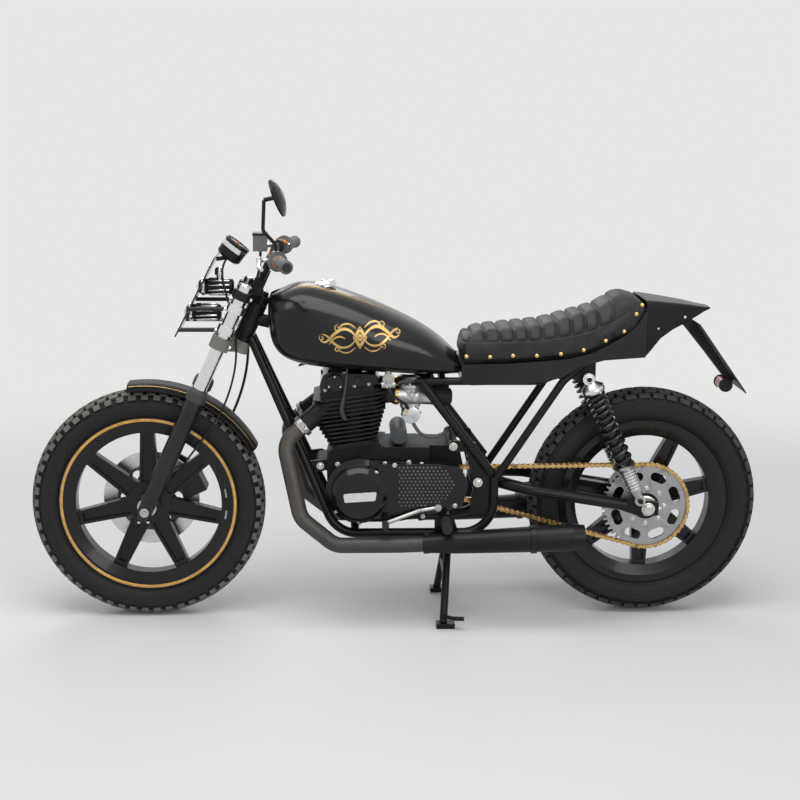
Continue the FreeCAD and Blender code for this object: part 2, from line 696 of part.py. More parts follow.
def crankcase():
    """Crankcase and gearbox, cut back on the left where the chain leaves, with mount lugs."""
    half = crankcase_half_width
    top = [deck_point(x, 0, 0) - crank for x in (66, -62)]
    case = side_plate(around(crank, [(50, -90), (76, -40), (90, 0), (92, 83), (84, 112)]
                             + [(p.x, p.z) for p in top]
                             + [(-62, 123), (-200, 123), (-200, -74), (-120, -92)]), -half, half)
    recess = chain_centre - 16
    gearbox = side_plate(around(crank, [(-140, 123), (-268, 122), (-286, 104), (-296, 60),
                                        (-296, -10), (-270, -66), (-140, -88)]), -76, recess)
    notch = block(V(crank.x - 300, recess, crank.z - 100),
                  V(output_shaft.x + 62, half + 1, crank.z + 140))
    step = block(V(crank.x - 300, -half - 1, crank.z - 100), V(crank.x - 170, -76, crank.z + 140))
    boss = rod(output_shaft + ACROSS * (recess - 1), output_shaft + ACROSS * (recess + 8), 16)
    sump = side_plate(around(crank, [(40, -88), (-110, -90), (-100, -106), (30, -106)]), -48, 48)
    front_lug = side_hull([(front_mount - V(26, 0, 0), 16), (front_mount, mount_radius)], -60, 60)
    rear_lug = barrel(rear_mount, ACROSS, 160, mount_radius)
    web = side_plate(around(crank, [(-250, 120), (-280, 120), (-272, 134), (-258, 134)]), -76, recess)
    body = case.cut([notch, step]).fuse([gearbox, boss, sump, front_lug, rear_lug, web])
    save("crankcase", body.removeSplitter())


def cylinders():
    """Twin barrels in one finned block."""
    bores = [Part.makeCylinder(46, barrel_height, V(0, side * bore_spacing / 2, 0)) for side in (1, -1)]
    web = block(V(-40, -bore_spacing / 2, 0), V(40, bore_spacing / 2, barrel_height))
    base = block(V(-60, -94, seat_gap), V(66, 94, 7))
    fins = [fin(72 + 5.5 * k, 62 + 5 * k, 110, 11 + fin_pitch * k, 22) for k in range(cylinder_fins)]
    whole = fused(*bores, web, base, *fins)
    under = block(V(-200, -200, -50), V(200, 200, seat_gap))
    reliefs = []
    for side in (1, -1):
        flip = V(1, side, 1)
        reliefs.append(rod(scaled(port_root, flip), scaled(port_end, flip) + V(10, 0, -6), 29))
    save("cylinders", on_block(whole.cut([under] + reliefs)))


def cylinder_head():
    """Finned head with two exhaust ports in front and two intake stubs behind."""
    floor = barrel_height + seat_gap
    core = block(V(-72, -100, floor), V(78, 100, barrel_height + head_height))
    fins = [fin(112 - 3 * k, 98 + 2 * k, 112, floor + 3 + fin_pitch * k, 24) for k in range(head_fins)]
    ports = []
    for side in (1, -1):
        flip = V(1, side, 1)
        ports.append(rod(scaled(port_root, flip), scaled(port_end, flip), 27))
    stub = deck_point(stub_end.x, stub_end.y, stub_end.z)
    stubs = pair(rod(stub + unit(stub - carb_front) * 42, stub, 25))
    save("cylinder_head", on_block(fused(core, *fins, *ports)).fuse(stubs))


def cam_cover():
    """Ribbed cover over the camshaft, with round end caps."""
    floor = barrel_height + head_height + seat_gap
    outline = [(74, floor), (74, 190), (62, 214), (48, 219), (28, 217), (-14, 208), (-84, 196),
               (-92, 186), (-80, floor)]
    cover = side_plate(outline, -96, 96)
    caps = [barrel(V(32, side * 98, 190), ACROSS, 12, 22) for side in (1, -1)]
    plugs = [barrel(V(-34, side * 98, 186), ACROSS, 12, 13) for side in (1, -1)]
    rib = block(V(-78, -8, floor), V(70, 8, 212))
    save("cam_cover", on_block(fused(cover, rib, *caps, *plugs)))


def side_covers():
    """Alternator and sprocket cover on the left; clutch and timing covers on the right."""
    face = crankcase_half_width + seat_gap
    alternator = turned_about([(0, 0), (0, 94), (14, 94), (20, 80), (54, 78), (64, 66), (66, 0)],
                              crank + ACROSS * face, ACROSS)
    near = around(crank, [(-54, 86), (-40, -74)])
    sprocket_cover = side_plate([near[0]] + around(output_shaft, [(34, 62), (-22, 52), (-46, 6),
                                                                   (-30, -62), (30, -78)]) + [near[1]],
                                face + 4, 128)
    bridge = side_plate(around(crank, [(-30, 92), (-178, 84), (-178, -62), (-30, -78)]), face, 112)
    save("left_engine_cover", fused(alternator, sprocket_cover, bridge).removeSplitter())
    clutch = turned_about([(0, 0), (0, 94), (28, 92), (44, 80), (50, 66), (50, 0)],
                          crank + V(-124, -face, 6), -ACROSS)
    timing = turned_about([(0, 0), (0, 62), (26, 60), (34, 50), (34, 0)], crank - ACROSS * face, -ACROSS)
    save("right_engine_cover", fused(clutch, timing))


def starter_motor():
    """Starter motor across the top of the crankcase, behind the barrels."""
    axis = crank + V(-112, 0, 154)
    motor = rod(axis - ACROSS * 66, axis + ACROSS * 72, 24)
    foot = crank.z + 123 + seat_gap
    feet = [block(V(axis.x - 12, y, foot), V(axis.x + 12, y + 14, axis.z - 18)) for y in (-50, 34)]
    save("starter_motor", fused(motor, *feet))


def front_sprocket():
    """Small sprocket on the gearbox output shaft, in mesh with the chain."""
    root, tip = front_pitch_radius - 5.4, front_pitch_radius + 4.0
    low = chain_centre - sprocket_thickness / 2
    lean = math.asin((rear_pitch_radius - front_pitch_radius) / sprocket_distance)
    run = sprocket_distance * math.cos(lean)
    links = math.ceil((run - first_pin()) / chain_pitch)
    pin, _ = chain_station(first_pin() + links * chain_pitch)
    phase = math.atan2(pin.z - output_shaft.z, pin.x - output_shaft.x)
    step = 2 * math.pi / front_teeth
    corners = []
    for k in range(front_teeth):
        for share, radius in ((0.22, root), (0.40, tip), (0.60, tip), (0.78, root)):
            angle = phase + (k + share) * step
            corners.append(output_shaft + V(radius * math.cos(angle), low, radius * math.sin(angle)))
    face = Part.Face(Part.makePolygon(corners + [corners[0]]))
    hub = rod(output_shaft + ACROSS * (chain_centre - 8 + seat_gap), output_shaft + ACROSS * 84, 15)
    save("front_sprocket", fused(face.extrude(V(0, sprocket_thickness, 0)), hub))


def exhaust():
    """Two header pipes with port clamps, and two tapered silencers."""
    end = deck_point(port_end.x, port_end.y, port_end.z)
    root = deck_point(port_root.x, port_root.y, port_root.z)
    way = unit(end - root)
    start = end + way * seat_gap
    low = cradle_floor - 19
    outside = header_half_width
    silencer_way = unit(V(-1, 0.03, 0.05))
    mouth = V(-70, outside + 1, low + 3)
    pipe = bent_tube([start, start + way * 76, V(272, outside - 7, low + 78), V(176, outside, low),
                      mouth - silencer_way * 60, mouth + silencer_way * 27], header_radius, 62)
    clamp = rod(start, start + way * 13, 30)
    save("exhaust_headers", *pair(fused(pipe, clamp)))
    reach = 92.0
    full = reach + muffler_length
    inner = header_radius + seat_gap
    outline = [(0, inner), (0, 26), (34, 27), (reach, muffler_front_radius), (full, muffler_rear_radius),
               (full + 34, 34), (full + 34, 20), (full + 4, 20), (full + 4, 0), (28, 0), (28, inner)]
    save("silencers", *pair(turned_about(outline, mouth, silencer_way)))


def carburettors():
    """Two slide carburettors on rubber stubs, with a round air filter on each."""
    stub = deck_point(stub_end.x, stub_end.y, stub_end.z)
    middle = carb_front + (carb_back - carb_front) * 0.43
    rubber = rod(stub + unit(carb_front - stub) * seat_gap, carb_front, 23)
    throat = rod(carb_front, carb_back, 24)
    dome = turned_about([(0, 0), (0, 26), (22, 26), (26, 33), (34, 33), (40, 24), (40, 0)], middle, UP)
    bowl = turned_about([(20, 0), (20, 29), (28, 29), (32, 25), (60, 24), (68, 15), (68, 0)], middle, -UP)
    save("carburettors", *pair(fused(rubber, throat, dome, bowl)))
    pod = turned_about([(seat_gap, 0), (seat_gap, 24), (8, 25), (56, 23), (60, 17), (60, 0)], carb_back,
                       carb_back - carb_front)
    save("air_filters", *pair(pod))


def tank_section(x, bottom, top, half_width):
    """Closed cross-section of the tank: a flat crown, full sides, tucked in at the bottom."""
    middle = bottom + 0.42 * (top - bottom)
    points = []
    for k in range(24):
        c, s = math.cos(math.pi * k / 12), math.sin(math.pi * k / 12)
        height, sharp = (top - middle, 2.5) if s > 0 else (middle - bottom, 3.4)
        y = half_width * math.copysign(abs(c) ** (2 / sharp), c)
        z = middle + height * math.copysign(abs(s) ** (2 / sharp), s)
        points.append(V(x, y, z))
    curve = Part.BSplineCurve()
    curve.interpolate(Points=points, PeriodicFlag=True)
    return Part.Wire(curve.toShape())


def fuel_tank():
    """Long tank with a flat crown, a tunnel for the backbone and a notch for the head."""
    rows = ((360, 148, 223, 56), (352, 110, 236, 86), (330, 73, 244, 116), (280, 46, 262, 134),
            (215, 34, 260, 142), (120, 25, 232, 144), (20, 19, 190, 140), (-70, 15, 144, 128),
            (-135, 14, 96, 110), (-170, 16, 62, 94))
    body = lofted([tank_section(x, rail_height + bottom, rail_height + top, half_width)
                   for x, bottom, top, half_width in rows])
    tunnel = side_plate([(x, rail_height + z) for x, z in ((400, -2), (400, 233), (330, 203), (80, 124),
                                                           (-200, 60), (-200, -2))],
                        -tank_tunnel_half, tank_tunnel_half)
    neck = rod(on_steering(head_tube_low - 40), on_steering(head_tube_high + 90), 40)
    save("fuel_tank", body.cut([tunnel, neck]))
    cap = turned_about([(0, 0), (0, 34), (10, 34), (15, 30), (17, 20), (17, 0)],
                       V(205, 0, rail_height + 252), V(0.2, 0, 1))
    save("fuel_cap", cap.cut(body))
    tap_at = V(28, carb_half_spacing + 38, rail_height - 8)
    tap = fused(rod(tap_at, tap_at + UP * 40, 9), barrel(tap_at, V(1, 0, 0), 38, 11),
                rod(tap_at, tap_at + ACROSS * 24, 8))
    save("fuel_tap", tap.cut(body))


def rounded_section(x, bottom, top, half_width, corner):
    """Upright cross-section with rounded top corners."""
    knee = top - corner
    dip = corner * (1 - math.sqrt(0.5))
    inside = half_width - corner
    edges = [Part.LineSegment(V(x, -half_width, bottom), V(x, half_width, bottom)),
             Part.LineSegment(V(x, half_width, bottom), V(x, half_width, knee)),
             Part.Arc(V(x, half_width, knee), V(x, half_width - dip, top - dip), V(x, inside, top)),
             Part.LineSegment(V(x, inside, top), V(x, -inside, top)),
             Part.Arc(V(x, -inside, top), V(x, dip - half_width, top - dip), V(x, -half_width, knee)),
             Part.LineSegment(V(x, -half_width, knee), V(x, -half_width, bottom))]
    return Part.Wire([edge.toShape() for edge in edges])


def seat():
    """Saddle with a raised hump behind the rider, on a hollow base with deep skirts."""
    sections = [rounded_section(x, rail_height + bottom + seat_gap, rail_height + top, half_width, corner)
                for (x, bottom, top, half_width), corner in
                zip(seat_rows, [26] * (len(seat_rows) - 1) + [14])]
    save("seat", Part.makeLoft(sections, True, True))
    upper = [(x, rail_height + bottom) for x, bottom, _, _ in seat_rows]
    lower = [(x, rail_height + z) for x, z in ((-174, 0), (-200, -8), (-338, -6), (-407, 1), (-455, 14),
                                               (-500, 42), (-560, 61), (seat_end, 70))]
    outer = side_plate(lower + upper[::-1], -seat_half_width, seat_half_width)
    roof = [(x, z - shell_wall) for x, z in upper[1:-1]]
    below = rail_height - 100
    back = seat_end - 1
    hollow = side_plate([(roof[0][0], below)] + roof + [(back, roof[-1][1] + 20), (back, below)],
                        shell_wall - seat_half_width, seat_half_width - shell_wall)
    notch = block(V(-195, 81, rail_height - 22), V(-170, 110, rail_height + stay_radius + 2))
    save("seat_base", outer.cut([hollow] + pair(notch)))


def tail():
    """Pointed tail cowl behind the seat, the plate arm with its blank plate, and a lamp."""
    start = seat_end - seat_gap
    rows = ((start, 71, 226, 108, 22), (-700, 88, 225, 104, 22), (-728, 121, 222, 96, 20),
            (-765, 144, 217, 83, 17), (-812, 164, 210, 64, 12), (-862, 188, 200, 38, 4),
            (-880, 194, 198, 28, 2))
    rows = [(x, rail_height + bottom, rail_height + top, half, corner) for x, bottom, top, half, corner in rows]
    solid = Part.makeLoft([rounded_section(*row) for row in rows], True, True)
    wall = shell_wall
    hollow_rows = [(x + 1 if x == start else x, bottom - 30, top - wall, half - wall, corner - wall)
                   for x, bottom, top, half, corner in rows[:5]]
    hollow = Part.makeLoft([rounded_section(*row) for row in hollow_rows], True, True)
    cowl = solid.cut(hollow)
    save("tail_cowl", cowl)
    top, foot = V(-838, 0, rail_height + 155), V(-962, 0, rail_height - 16)
    arm = side_plate(around(top, [(63, 57.5), (41, 57.5), (0, 0), (-124, -171), (-112, -177),
                                  (-87, -149), (-35, -84), (26, -11), (48, -7)]), -11, 11).cut(cowl)
    down = unit(foot - top)
    plate = block(V(0, -90, -2), V(3, 90, 238))
    plate.Placement = FreeCAD.Placement(top, FreeCAD.Rotation(UP, down))
    save("number_plate", fused(arm, plate))
    lamp = barrel(foot + V(26, 0, -10), ACROSS, 60, 18)
    save("tail_lamp", lamp.cut(fused(arm, plate)))


def pedals():
    """Footpegs on their brackets, the gear lever and the brake pedal."""
    side_face = cradle_half_width + cradle_radius + seat_gap
    peg_at = V(-134, 0, 308)
    bracket = side_plate([(-176, 256), (-104, 256), (-104, 308), (-118, 322), (-156, 322)], side_face,
                         side_face + 8)
    peg = rod(peg_at + ACROSS * (side_face + 4), peg_at + ACROSS * 215, 12)
    save("footpegs", *pair(fused(bracket, peg)))
    shaft = V(-112, 128 + seat_gap, 350)
    lever = bent_tube([shaft + ACROSS * 10, V(-58, 140, 341), V(36, 150, 308)], 6, 30)
    spline = rod(shaft, shaft + ACROSS * 16, 10)
    toe = rod(V(36, 146, 308), V(36, 188, 308), 8)
    save("gear_lever", fused(lever, spline, toe))
    hinge = V(-40, -side_face - 8, 268)
    boss = barrel(hinge, ACROSS, 16, 12)
    pedal = bent_tube([hinge, hinge + V(64, -12, 18), hinge + V(160, -30, 24)], 6, 40)
    pad = block(hinge + V(140, -62, 18), hinge + V(178, -24, 32))
    save("brake_pedal", fused(pedal, pad, boss))


def yoke(low, high, radius):
    """Triple clamp between two heights on the steering axis, bored for the fork tubes."""
    centre, tall = on_steering(low), steer_up * (high - low)

    def post(offset, y, size):
        return Part.makeCylinder(size, high - low, centre - steer_back * offset + ACROSS * y, steer_up)

    parts = [post(0, 0, radius)]
    for side in (1, -1):
        y = side * fork_half_spacing
        near = centre - steer_back * fork_offset + ACROSS * y
        normal = unit((near - centre).cross(steer_up)) * yoke_arm_half_width
        corners = [centre + normal, near + normal, near - normal, centre - normal]
        face = Part.Face(Part.makePolygon(corners + [corners[0]]))
        parts += [face.extrude(tall), post(fork_offset, y, radius)]
    holes = [post(fork_offset, side * fork_half_spacing, fork_tube_radius + seat_gap) for side in (1, -1)]
    return fused(*parts).cut(holes)


gauge_centre = front_axle + V(-251, 0, 722)
gauge_way = unit(V(-0.6, 0, 0.8))
gauge_depth = 26.0
speedo_drive = front_axle + ACROSS * 58
speedo_way = unit(V(-56, 0, 60))
speedo_nose = 34.0
bar_height = head_tube_high + 77.0
bar_centre = on_steering(bar_height, -20)
bar_tip = bar_centre + V(-78, bar_half_width, 60)
bar_knee = bar_centre + V(-29, 126, 64)
bar_way = unit(bar_tip - bar_knee)
grip_start = bar_tip - bar_way * grip_length
perch = grip_start - bar_way * 16


def steering_head():
    """Lower yoke with the stem pressed in; upper yoke with its nut and bar clamps."""
    low_top = head_tube_low - yoke_gap
    high_floor = head_tube_high + yoke_gap
    high_top = high_floor + upper_yoke_thickness
    stem = rod(on_steering(low_top - 2), on_steering(high_floor - seat_gap), stem_radius)
    save("lower_yoke", fused(yoke(low_top - lower_yoke_thickness, low_top, 28), stem))
    nut = rod(on_steering(high_top - 1), on_steering(high_top + 9), 17)
    clamps = []
    for y in (21, -21):
        clamp = block(V(-16, y - 9, 0), V(16, y + 9, bar_height - high_top + 17))
        clamp.Placement = FreeCAD.Placement(on_steering(high_top - 1, -20),
                                            FreeCAD.Rotation(UP, steer_up))
        clamps.append(clamp)
    upper = fused(yoke(high_floor, high_top, 25), nut, *clamps)
    save("upper_yoke", upper.cut(barrel(bar_centre, ACROSS, 400, bar_radius + seat_gap)))


caliper_angle = 25.0
caliper_centre = front_axle + V(-math.cos(math.radians(caliper_angle)), 0,
                                math.sin(math.radians(caliper_angle))) * (disc_radius - 14)


def front_fork():
    """Two fork legs: plated tubes running in cast sliders that carry the axle."""
    tube = rod(on_fork(slider_top - slider_bore_depth + 1, 1), on_fork(fork_tube_top, 1),
               fork_tube_radius)
    save("fork_tubes", *pair(tube))
    bore = fork_tube_radius + seat_gap
    outline = [(slider_bottom, 0), (slider_bottom, 17), (-16, 21), (8, 21), (40, slider_radius),
               (slider_top - 22, slider_radius), (slider_top - 20, 28), (slider_top, 28),
               (slider_top, bore), (slider_top - slider_bore_depth, bore),
               (slider_top - slider_bore_depth, 0)]
    slider = turned_about(outline, on_fork(0, 1), steer_up)
    lugs = []
    for height, ear in ((52, V(28, 0, -18)), (128, V(28, 0, 16))):
        lugs.append(side_hull([(on_fork(height, 0), 14), (caliper_point(ear), 9)],
                              -fork_half_spacing - 4, -fork_half_spacing + 6))
    hole = barrel(front_axle, ACROSS, 400, front_axle_radius + seat_gap)
    save("fork_sliders", slider.cut(hole), mirrored(slider).fuse(lugs).cut(hole))


def caliper_point(local):
    """Place on the machine of a point given in the caliper's own axes."""
    angle = math.radians(caliper_angle)
    outward = V(-math.cos(angle), 0, math.sin(angle))
    onward = V(math.sin(angle), 0, math.cos(angle))
    return caliper_centre + onward * local.x + ACROSS * local.y + outward * local.z


def brake_caliper():
    """Single caliper straddling the disc behind the right fork leg."""
    middle = -disc_face - disc_thickness / 2
    half = disc_thickness / 2 + 5
    outer = -fork_half_spacing + 6 + seat_gap
    body = block(V(-44, outer, -28), V(44, middle + half + 14, 34))
    slot = block(V(-60, middle - half, -40), V(60, middle + half, 20))
    piston = rod(V(-13, outer + 1, 0), V(-13, outer - 16, 0), 19)
    shape = body.cut(slot).fuse(piston)
    shape.rotate(ORIGIN, ACROSS, caliper_angle - 90)
    save("brake_caliper", shape.translated(caliper_centre))


def front_axle_set():
    """Front axle through both sliders, with a spacer on each side of the hub."""
    reach = fork_half_spacing + 26
    pieces = [barrel(front_axle, ACROSS, 2 * reach, front_axle_radius)]
    inside = fork_half_spacing - 21 - seat_gap
    for start, end in ((44.8, inside), (-inside, -disc_face - disc_thickness - 5)):
        pieces.append(rod(front_axle + ACROSS * start, front_axle + ACROSS * end, 14))
    pieces.append(barrel(speedo_drive, ACROSS, 18, 27))
    pieces.append(rod(speedo_drive, speedo_drive + speedo_way * speedo_nose, 6))
    save("front_axle", fused(*pieces))


def mudguard():
    """Short front mudguard rolled over the tyre, on a bridge between the sliders."""
    inner = front_tyre_radius + mudguard_gap
    half = front_tyre_half_width + 6
    shape = [(1.0, 18.0), (0.86, 7.5), (0.5, 1.8), (0.0, 0.0), (-0.5, 1.8), (-0.86, 7.5), (-1.0, 18.0)]
    under = [V(inner - drop, share * half, 0) for share, drop in shape]
    over = [V(inner - drop + mudguard_wall, share * (half + mudguard_wall), 0) for share, drop in shape]
    face = Part.Face(Part.makePolygon(under + over[::-1] + [under[0]]))
    shell = face.revolve(ORIGIN, ACROSS, -70)
    shell.rotate(ORIGIN, ACROSS, -82)
    pieces = [shell.translated(front_axle)]
    bridge = on_fork(slider_top - 40, 0)
    outer = fork_half_spacing - slider_radius - seat_gap
    for side in (1, -1):
        pieces.append(rod(bridge + ACROSS * (side * (half - 2)), bridge + ACROSS * (side * outer), 8))
    save("front_mudguard", fused(*pieces))


def handlebar():
    """Low swept bar with rubber grips, lever perches and the brake fluid reservoir."""
    half = [V(bar_centre.x, 48, bar_centre.z), bar_knee, bar_tip]
    bar = bent_tube([V(p.x, -p.y, p.z) for p in reversed(half)] + half, bar_radius, 42)
    save("handlebar", bar)
    bore = bar_radius + seat_gap
    grip = turned_about([(0, bore), (0, 27), (5, 27), (5, grip_radius), (grip_length, grip_radius),
                         (grip_length + 5, grip_radius - 3), (grip_length + 5, 0),
                         (grip_length + seat_gap, 0), (grip_length + seat_gap, bore)],
                        grip_start, bar_way)
    save("grips", *pair(grip))
    band = barrel(perch, bar_way, 28, 18)
    lever = bent_tube([perch + V(8, 0, 2), perch + V(44, 6, 2), perch + V(40, 112, -4),
                       perch + V(30, 146, -6)], 5, 14)
    socket = rod(perch, perch + UP * 26, 8)
    left = fused(band, lever, socket)
    reservoir = block(perch + V(44, -46, -12), perch + V(82, 2, 38))
    neck = rod(perch + V(10, -6, 0), perch + V(50, -14, 4), 9)
    right = mirrored(fused(band, lever, reservoir, neck))
    hole = rod(perch - bar_way * 60, perch + bar_way * 60, bore)
    save("bar_controls", left.cut(hole), right.cut(mirrored(hole)))


def mirror():
    """Round mirror on a slim stalk from the left lever perch."""
    foot = perch + UP * (26 + seat_gap)
    ball = perch + V(29, 18, 161)
    stalk = bent_tube([foot, foot + UP * 16, ball + V(4, -5, -81), ball], 5, 20)
    face_way = unit(V(-0.93, 0.1, 0.36))
    centre = ball + V(-36, 4, 7)
    head = turned_about([(-16, 0), (-15, 20), (-9, 38), (-1, 52), (4, 52), (4, 0)], centre, -face_way)
    neck = rod(ball, centre + face_way * 10, 6)
    save("mirror", fused(stalk, neck, head, barrel(ball, ACROSS, 14, 9)))


def front_lamps():
    """Flat plate between the forks with two projector lamps, and the speedometer above."""
    top, foot = front_axle + V(-207, 0, 709), front_axle + V(-96, 0, 495)
    down = unit(foot - top)
    plate = block(V(-2, -95, 0), V(2, 95, (foot - top).Length))
    plate.Placement = FreeCAD.Placement(top, FreeCAD.Rotation(UP, down))
    lamps, holes = [], []
    for lens in (front_axle + V(-148, 0, 621), front_axle + V(-112, 0, 550)):
        outline = [(0, 0), (4, 12), (9, 18), (14, 21), (30, 22), (100, 22), (104, 16), (104, 0)]
        lamps.append(turned_about(outline, lens, V(-1, 0, 0)))
        holes.append(rod(lens, lens - V(60, 0, 0), 22 + seat_gap))
    brackets = []
    for height in (566, 630):
        grip_at = on_fork(height, 1)
        meet = foot + down * ((grip_at.z - foot.z) / down.z)
        ring = barrel(grip_at, steer_up, 22, 25)
        brackets.append(ring.fuse(rod(grip_at, V(meet.x, grip_at.y, grip_at.z), 6)))
    tubes = rod(on_fork(500, 1), on_fork(fork_tube_top, 1), fork_tube_radius + seat_gap)
    left = fused(*brackets).cut(tubes)
    save("headlamp_plate", plate.cut(holes).fuse(pair(left)))
    save("headlamps", *lamps)
    gauge = turned_about([(-gauge_depth, 0), (-gauge_depth, 30), (-20, 36), (20, 37), (24, 34), (24, 0)], gauge_centre,
                         gauge_way)
    stem = rod(gauge_centre - gauge_way * (gauge_depth - 2), gauge_centre + V(46, 0, -24), 6)
    save("speedometer", gauge.fuse(stem).cut(plate))


def cord(name, points, radius):
    """Round cord along straight runs, with every arc as large as its two runs allow."""
    bends, length = [], 0.0
    for before, corner, after in zip(points, points[1:], points[2:]):
        turn = (corner - before).getAngle(after - corner)
        reach = 0.45 * min((corner - before).Length, (after - corner).Length)
        bends.append(reach / math.tan(turn / 2))
        length += bends[-1] * turn - 2 * reach
    length += sum((b - a).Length for a, b in zip(points, points[1:]))
    shape = swept(points, radius, bends)
    share = shape.Volume / (math.pi * radius ** 2 * length)
    print(name, "length", round(length, 1), "radii", [round(bend) for bend in bends],
          "volume share", round(share, 4))
    save(name, shape)


def cords():
    """Brake hose to the caliper and the speedometer's drive cable to the front hub."""
    outlet = V(perch.x + 63, 22 - perch.y, perch.z - 12 - seat_gap)
    union = caliper_point(V(-13, -fork_half_spacing - 10 - seat_gap, 0))
    hose = [outlet, outlet - UP * 44, outlet + V(14, 22, -94)]
    hose += [front_axle + V(*step) for step in
             ((-287, -130, 548), (-285, -126, 490), (-281, -123, 432), (-277, -121, 374), (-265, -120, 318),
              (-247, -121, 264), (-222, -124, 210), (-192, -128, 160), (-161, -131, 116), (-135, -133, 78))]
    hose += [union - ACROSS * 28, union]
    cord("brake_hose", hose, 4.0)
    gauge_back = gauge_centre - gauge_way * (gauge_depth + seat_gap) + ACROSS * 18
    cable = [gauge_back, gauge_back - gauge_way * 16]
    cable += [front_axle + V(*step) for step in
              ((-222, 34, 660), (-232, 52, 614), (-246, 60, 566), (-257, 62, 516), (-261, 63, 464),
               (-258, 65, 410), (-247, 68, 360), (-231, 70, 311), (-208, 69, 265), (-179, 65, 222),
               (-147, 61, 179), (-115, 58.5, 136), (-84, 58, 96))]
    cable += [speedo_drive + speedo_way * (speedo_nose + 60), speedo_drive + speedo_way * (speedo_nose + seat_gap)]
    cord("speedometer_cable", cable, 3.0)


if __name__ == "__main__":
    os.makedirs("parts", exist_ok=True)
    wheels()
    front_disc()
    rear_sprocket()
    drive_chain()
    frame()
    swingarm()
    rear_axle_set()
    rear_brake()
    shocks()
    centre_stand()
    crankcase()
    cylinders()
    cylinder_head()
    cam_cover()
    side_covers()
    starter_motor()
    front_sprocket()
    exhaust()
    carburettors()
    fuel_tank()
    seat()
    tail()
    pedals()
    steering_head()
    front_fork()
    brake_caliper()
    front_axle_set()
    mudguard()
    handlebar()
    mirror()
    front_lamps()
    cords()
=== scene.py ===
"""Looks of the cafe racer: tread, chain, springs, saddle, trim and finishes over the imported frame.

Points and sizes are written in millimetres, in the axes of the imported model, and made in metres.
"""
import math

import bmesh
import bpy
from mathutils import Matrix, Vector
from mathutils.bvhtree import BVHTree


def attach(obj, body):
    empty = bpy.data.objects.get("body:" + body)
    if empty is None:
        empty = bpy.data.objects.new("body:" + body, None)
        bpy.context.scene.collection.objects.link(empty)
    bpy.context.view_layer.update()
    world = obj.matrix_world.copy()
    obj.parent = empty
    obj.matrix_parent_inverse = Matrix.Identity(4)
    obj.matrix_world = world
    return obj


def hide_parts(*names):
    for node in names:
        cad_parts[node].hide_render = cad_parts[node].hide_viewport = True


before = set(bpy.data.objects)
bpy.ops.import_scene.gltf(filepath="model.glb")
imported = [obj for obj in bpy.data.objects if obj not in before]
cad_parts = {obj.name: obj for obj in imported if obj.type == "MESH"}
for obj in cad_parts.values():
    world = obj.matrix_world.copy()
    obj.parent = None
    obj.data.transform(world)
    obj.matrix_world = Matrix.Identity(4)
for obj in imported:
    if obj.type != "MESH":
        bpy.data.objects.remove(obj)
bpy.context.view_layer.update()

# Studio: a wide pale floor that runs into an even pale backdrop, lit by three large
# soft panels. Floor and backdrop take their brightness from their own colour.
mm = 0.001
backdrop = (0.80, 0.80, 0.79, 1.0)


class Field:
    """One socket of a finish's nodes: a value that changes over the surface."""

    def __init__(self, tree, socket):
        self.tree, self.socket = tree, socket

    def node(self, kind, settings=(), values=(), output=0):
        """Add a node, set it up, fill its inputs and give back one of its outputs."""
        made = self.tree.nodes.new(kind)
        for name, setting in dict(settings).items():
            setattr(made, name, setting)
        fill(made.inputs, values)
        return Field(self.tree, made.outputs[output])

    def maths(self, operation, *terms):
        return self.node("ShaderNodeMath", {"operation": operation}, enumerate(terms or (self,)))

    def __add__(self, other):
        return self.maths("ADD", self, other)

    def __sub__(self, other):
        return self.maths("SUBTRACT", self, other)

    def __rsub__(self, other):
        return self.maths("SUBTRACT", other, self)

    def __mul__(self, other):
        return self.maths("MULTIPLY", self, other)

    def __pow__(self, other):
        return self.maths("POWER", self, other)

    __radd__, __rmul__ = __add__, __mul__

    def rise(self, low, high):
        """0 below the low value, 1 above the high one, smooth between."""
        return self.node("ShaderNodeMapRange", {"interpolation_type": "SMOOTHSTEP"},
                         {"Value": self, "From Min": low, "From Max": high})

    def shade(self, low, high):
        """Colour between two colours, by this value."""
        return self.node("ShaderNodeMix", {"data_type": "RGBA"}, {0: self, 6: low, 7: high}, 2)

    def noise(self, scale, detail=2.0):
        return self.node("ShaderNodeTexNoise", (), {"Vector": self, "Scale": scale, "Detail": detail})

    def dot(self, other):
        return self.node("ShaderNodeVectorMath", {"operation": "DOT_PRODUCT"}, {0: self, 1: other}, "Value")

    def part(self, name):
        return self.node("ShaderNodeSeparateXYZ", (), {0: self}, name)

    def bump(self, strength, depth, under=None):
        """Relief as a normal: its strength, its depth in metres and the normal that it lies on."""
        base = {"Normal": under} if under else {}
        return self.node("ShaderNodeBump", (), {
            "Height": self, "Strength": strength, "Distance": depth} | base)

    def eased(self, radius):
        """Normal with the edges rounded off."""
        return self.node("ShaderNodeBevel", {"samples": 4}, {"Radius": radius * mm}, "Normal")

    def edges(self):
        """How far an eased normal leaves the true one: nothing on flats, most along edges."""
        return 1.0 - self.dot(self.node("ShaderNodeNewGeometry", (), (), "Normal"))


def fill(sockets, values):
    """Link fields to sockets by name, or set the sockets to plain numbers and colours."""
    for name, value in dict(values).items():
        socket = sockets[name]
        if isinstance(value, Field):
            value.tree.links.new(value.socket, socket)
        elif isinstance(value, (tuple, list)) and len(value) + 1 == len(socket.default_value):
            socket.default_value = (*value, 1.0)
        else:
            socket.default_value = value


def opened(material):
    """The place on the machine as a field, and the inputs of a finish's shader."""
    tree = material.node_tree
    place = Field(tree, tree.nodes.new("ShaderNodeTexCoord").outputs["Object"])
    return place, tree.nodes["Principled BSDF"].inputs


def new_finish(name):
    """Start a finish: its material, its place and its shader."""
    material = bpy.data.materials.new(name)
    material.use_nodes = True
    return material, *opened(material)


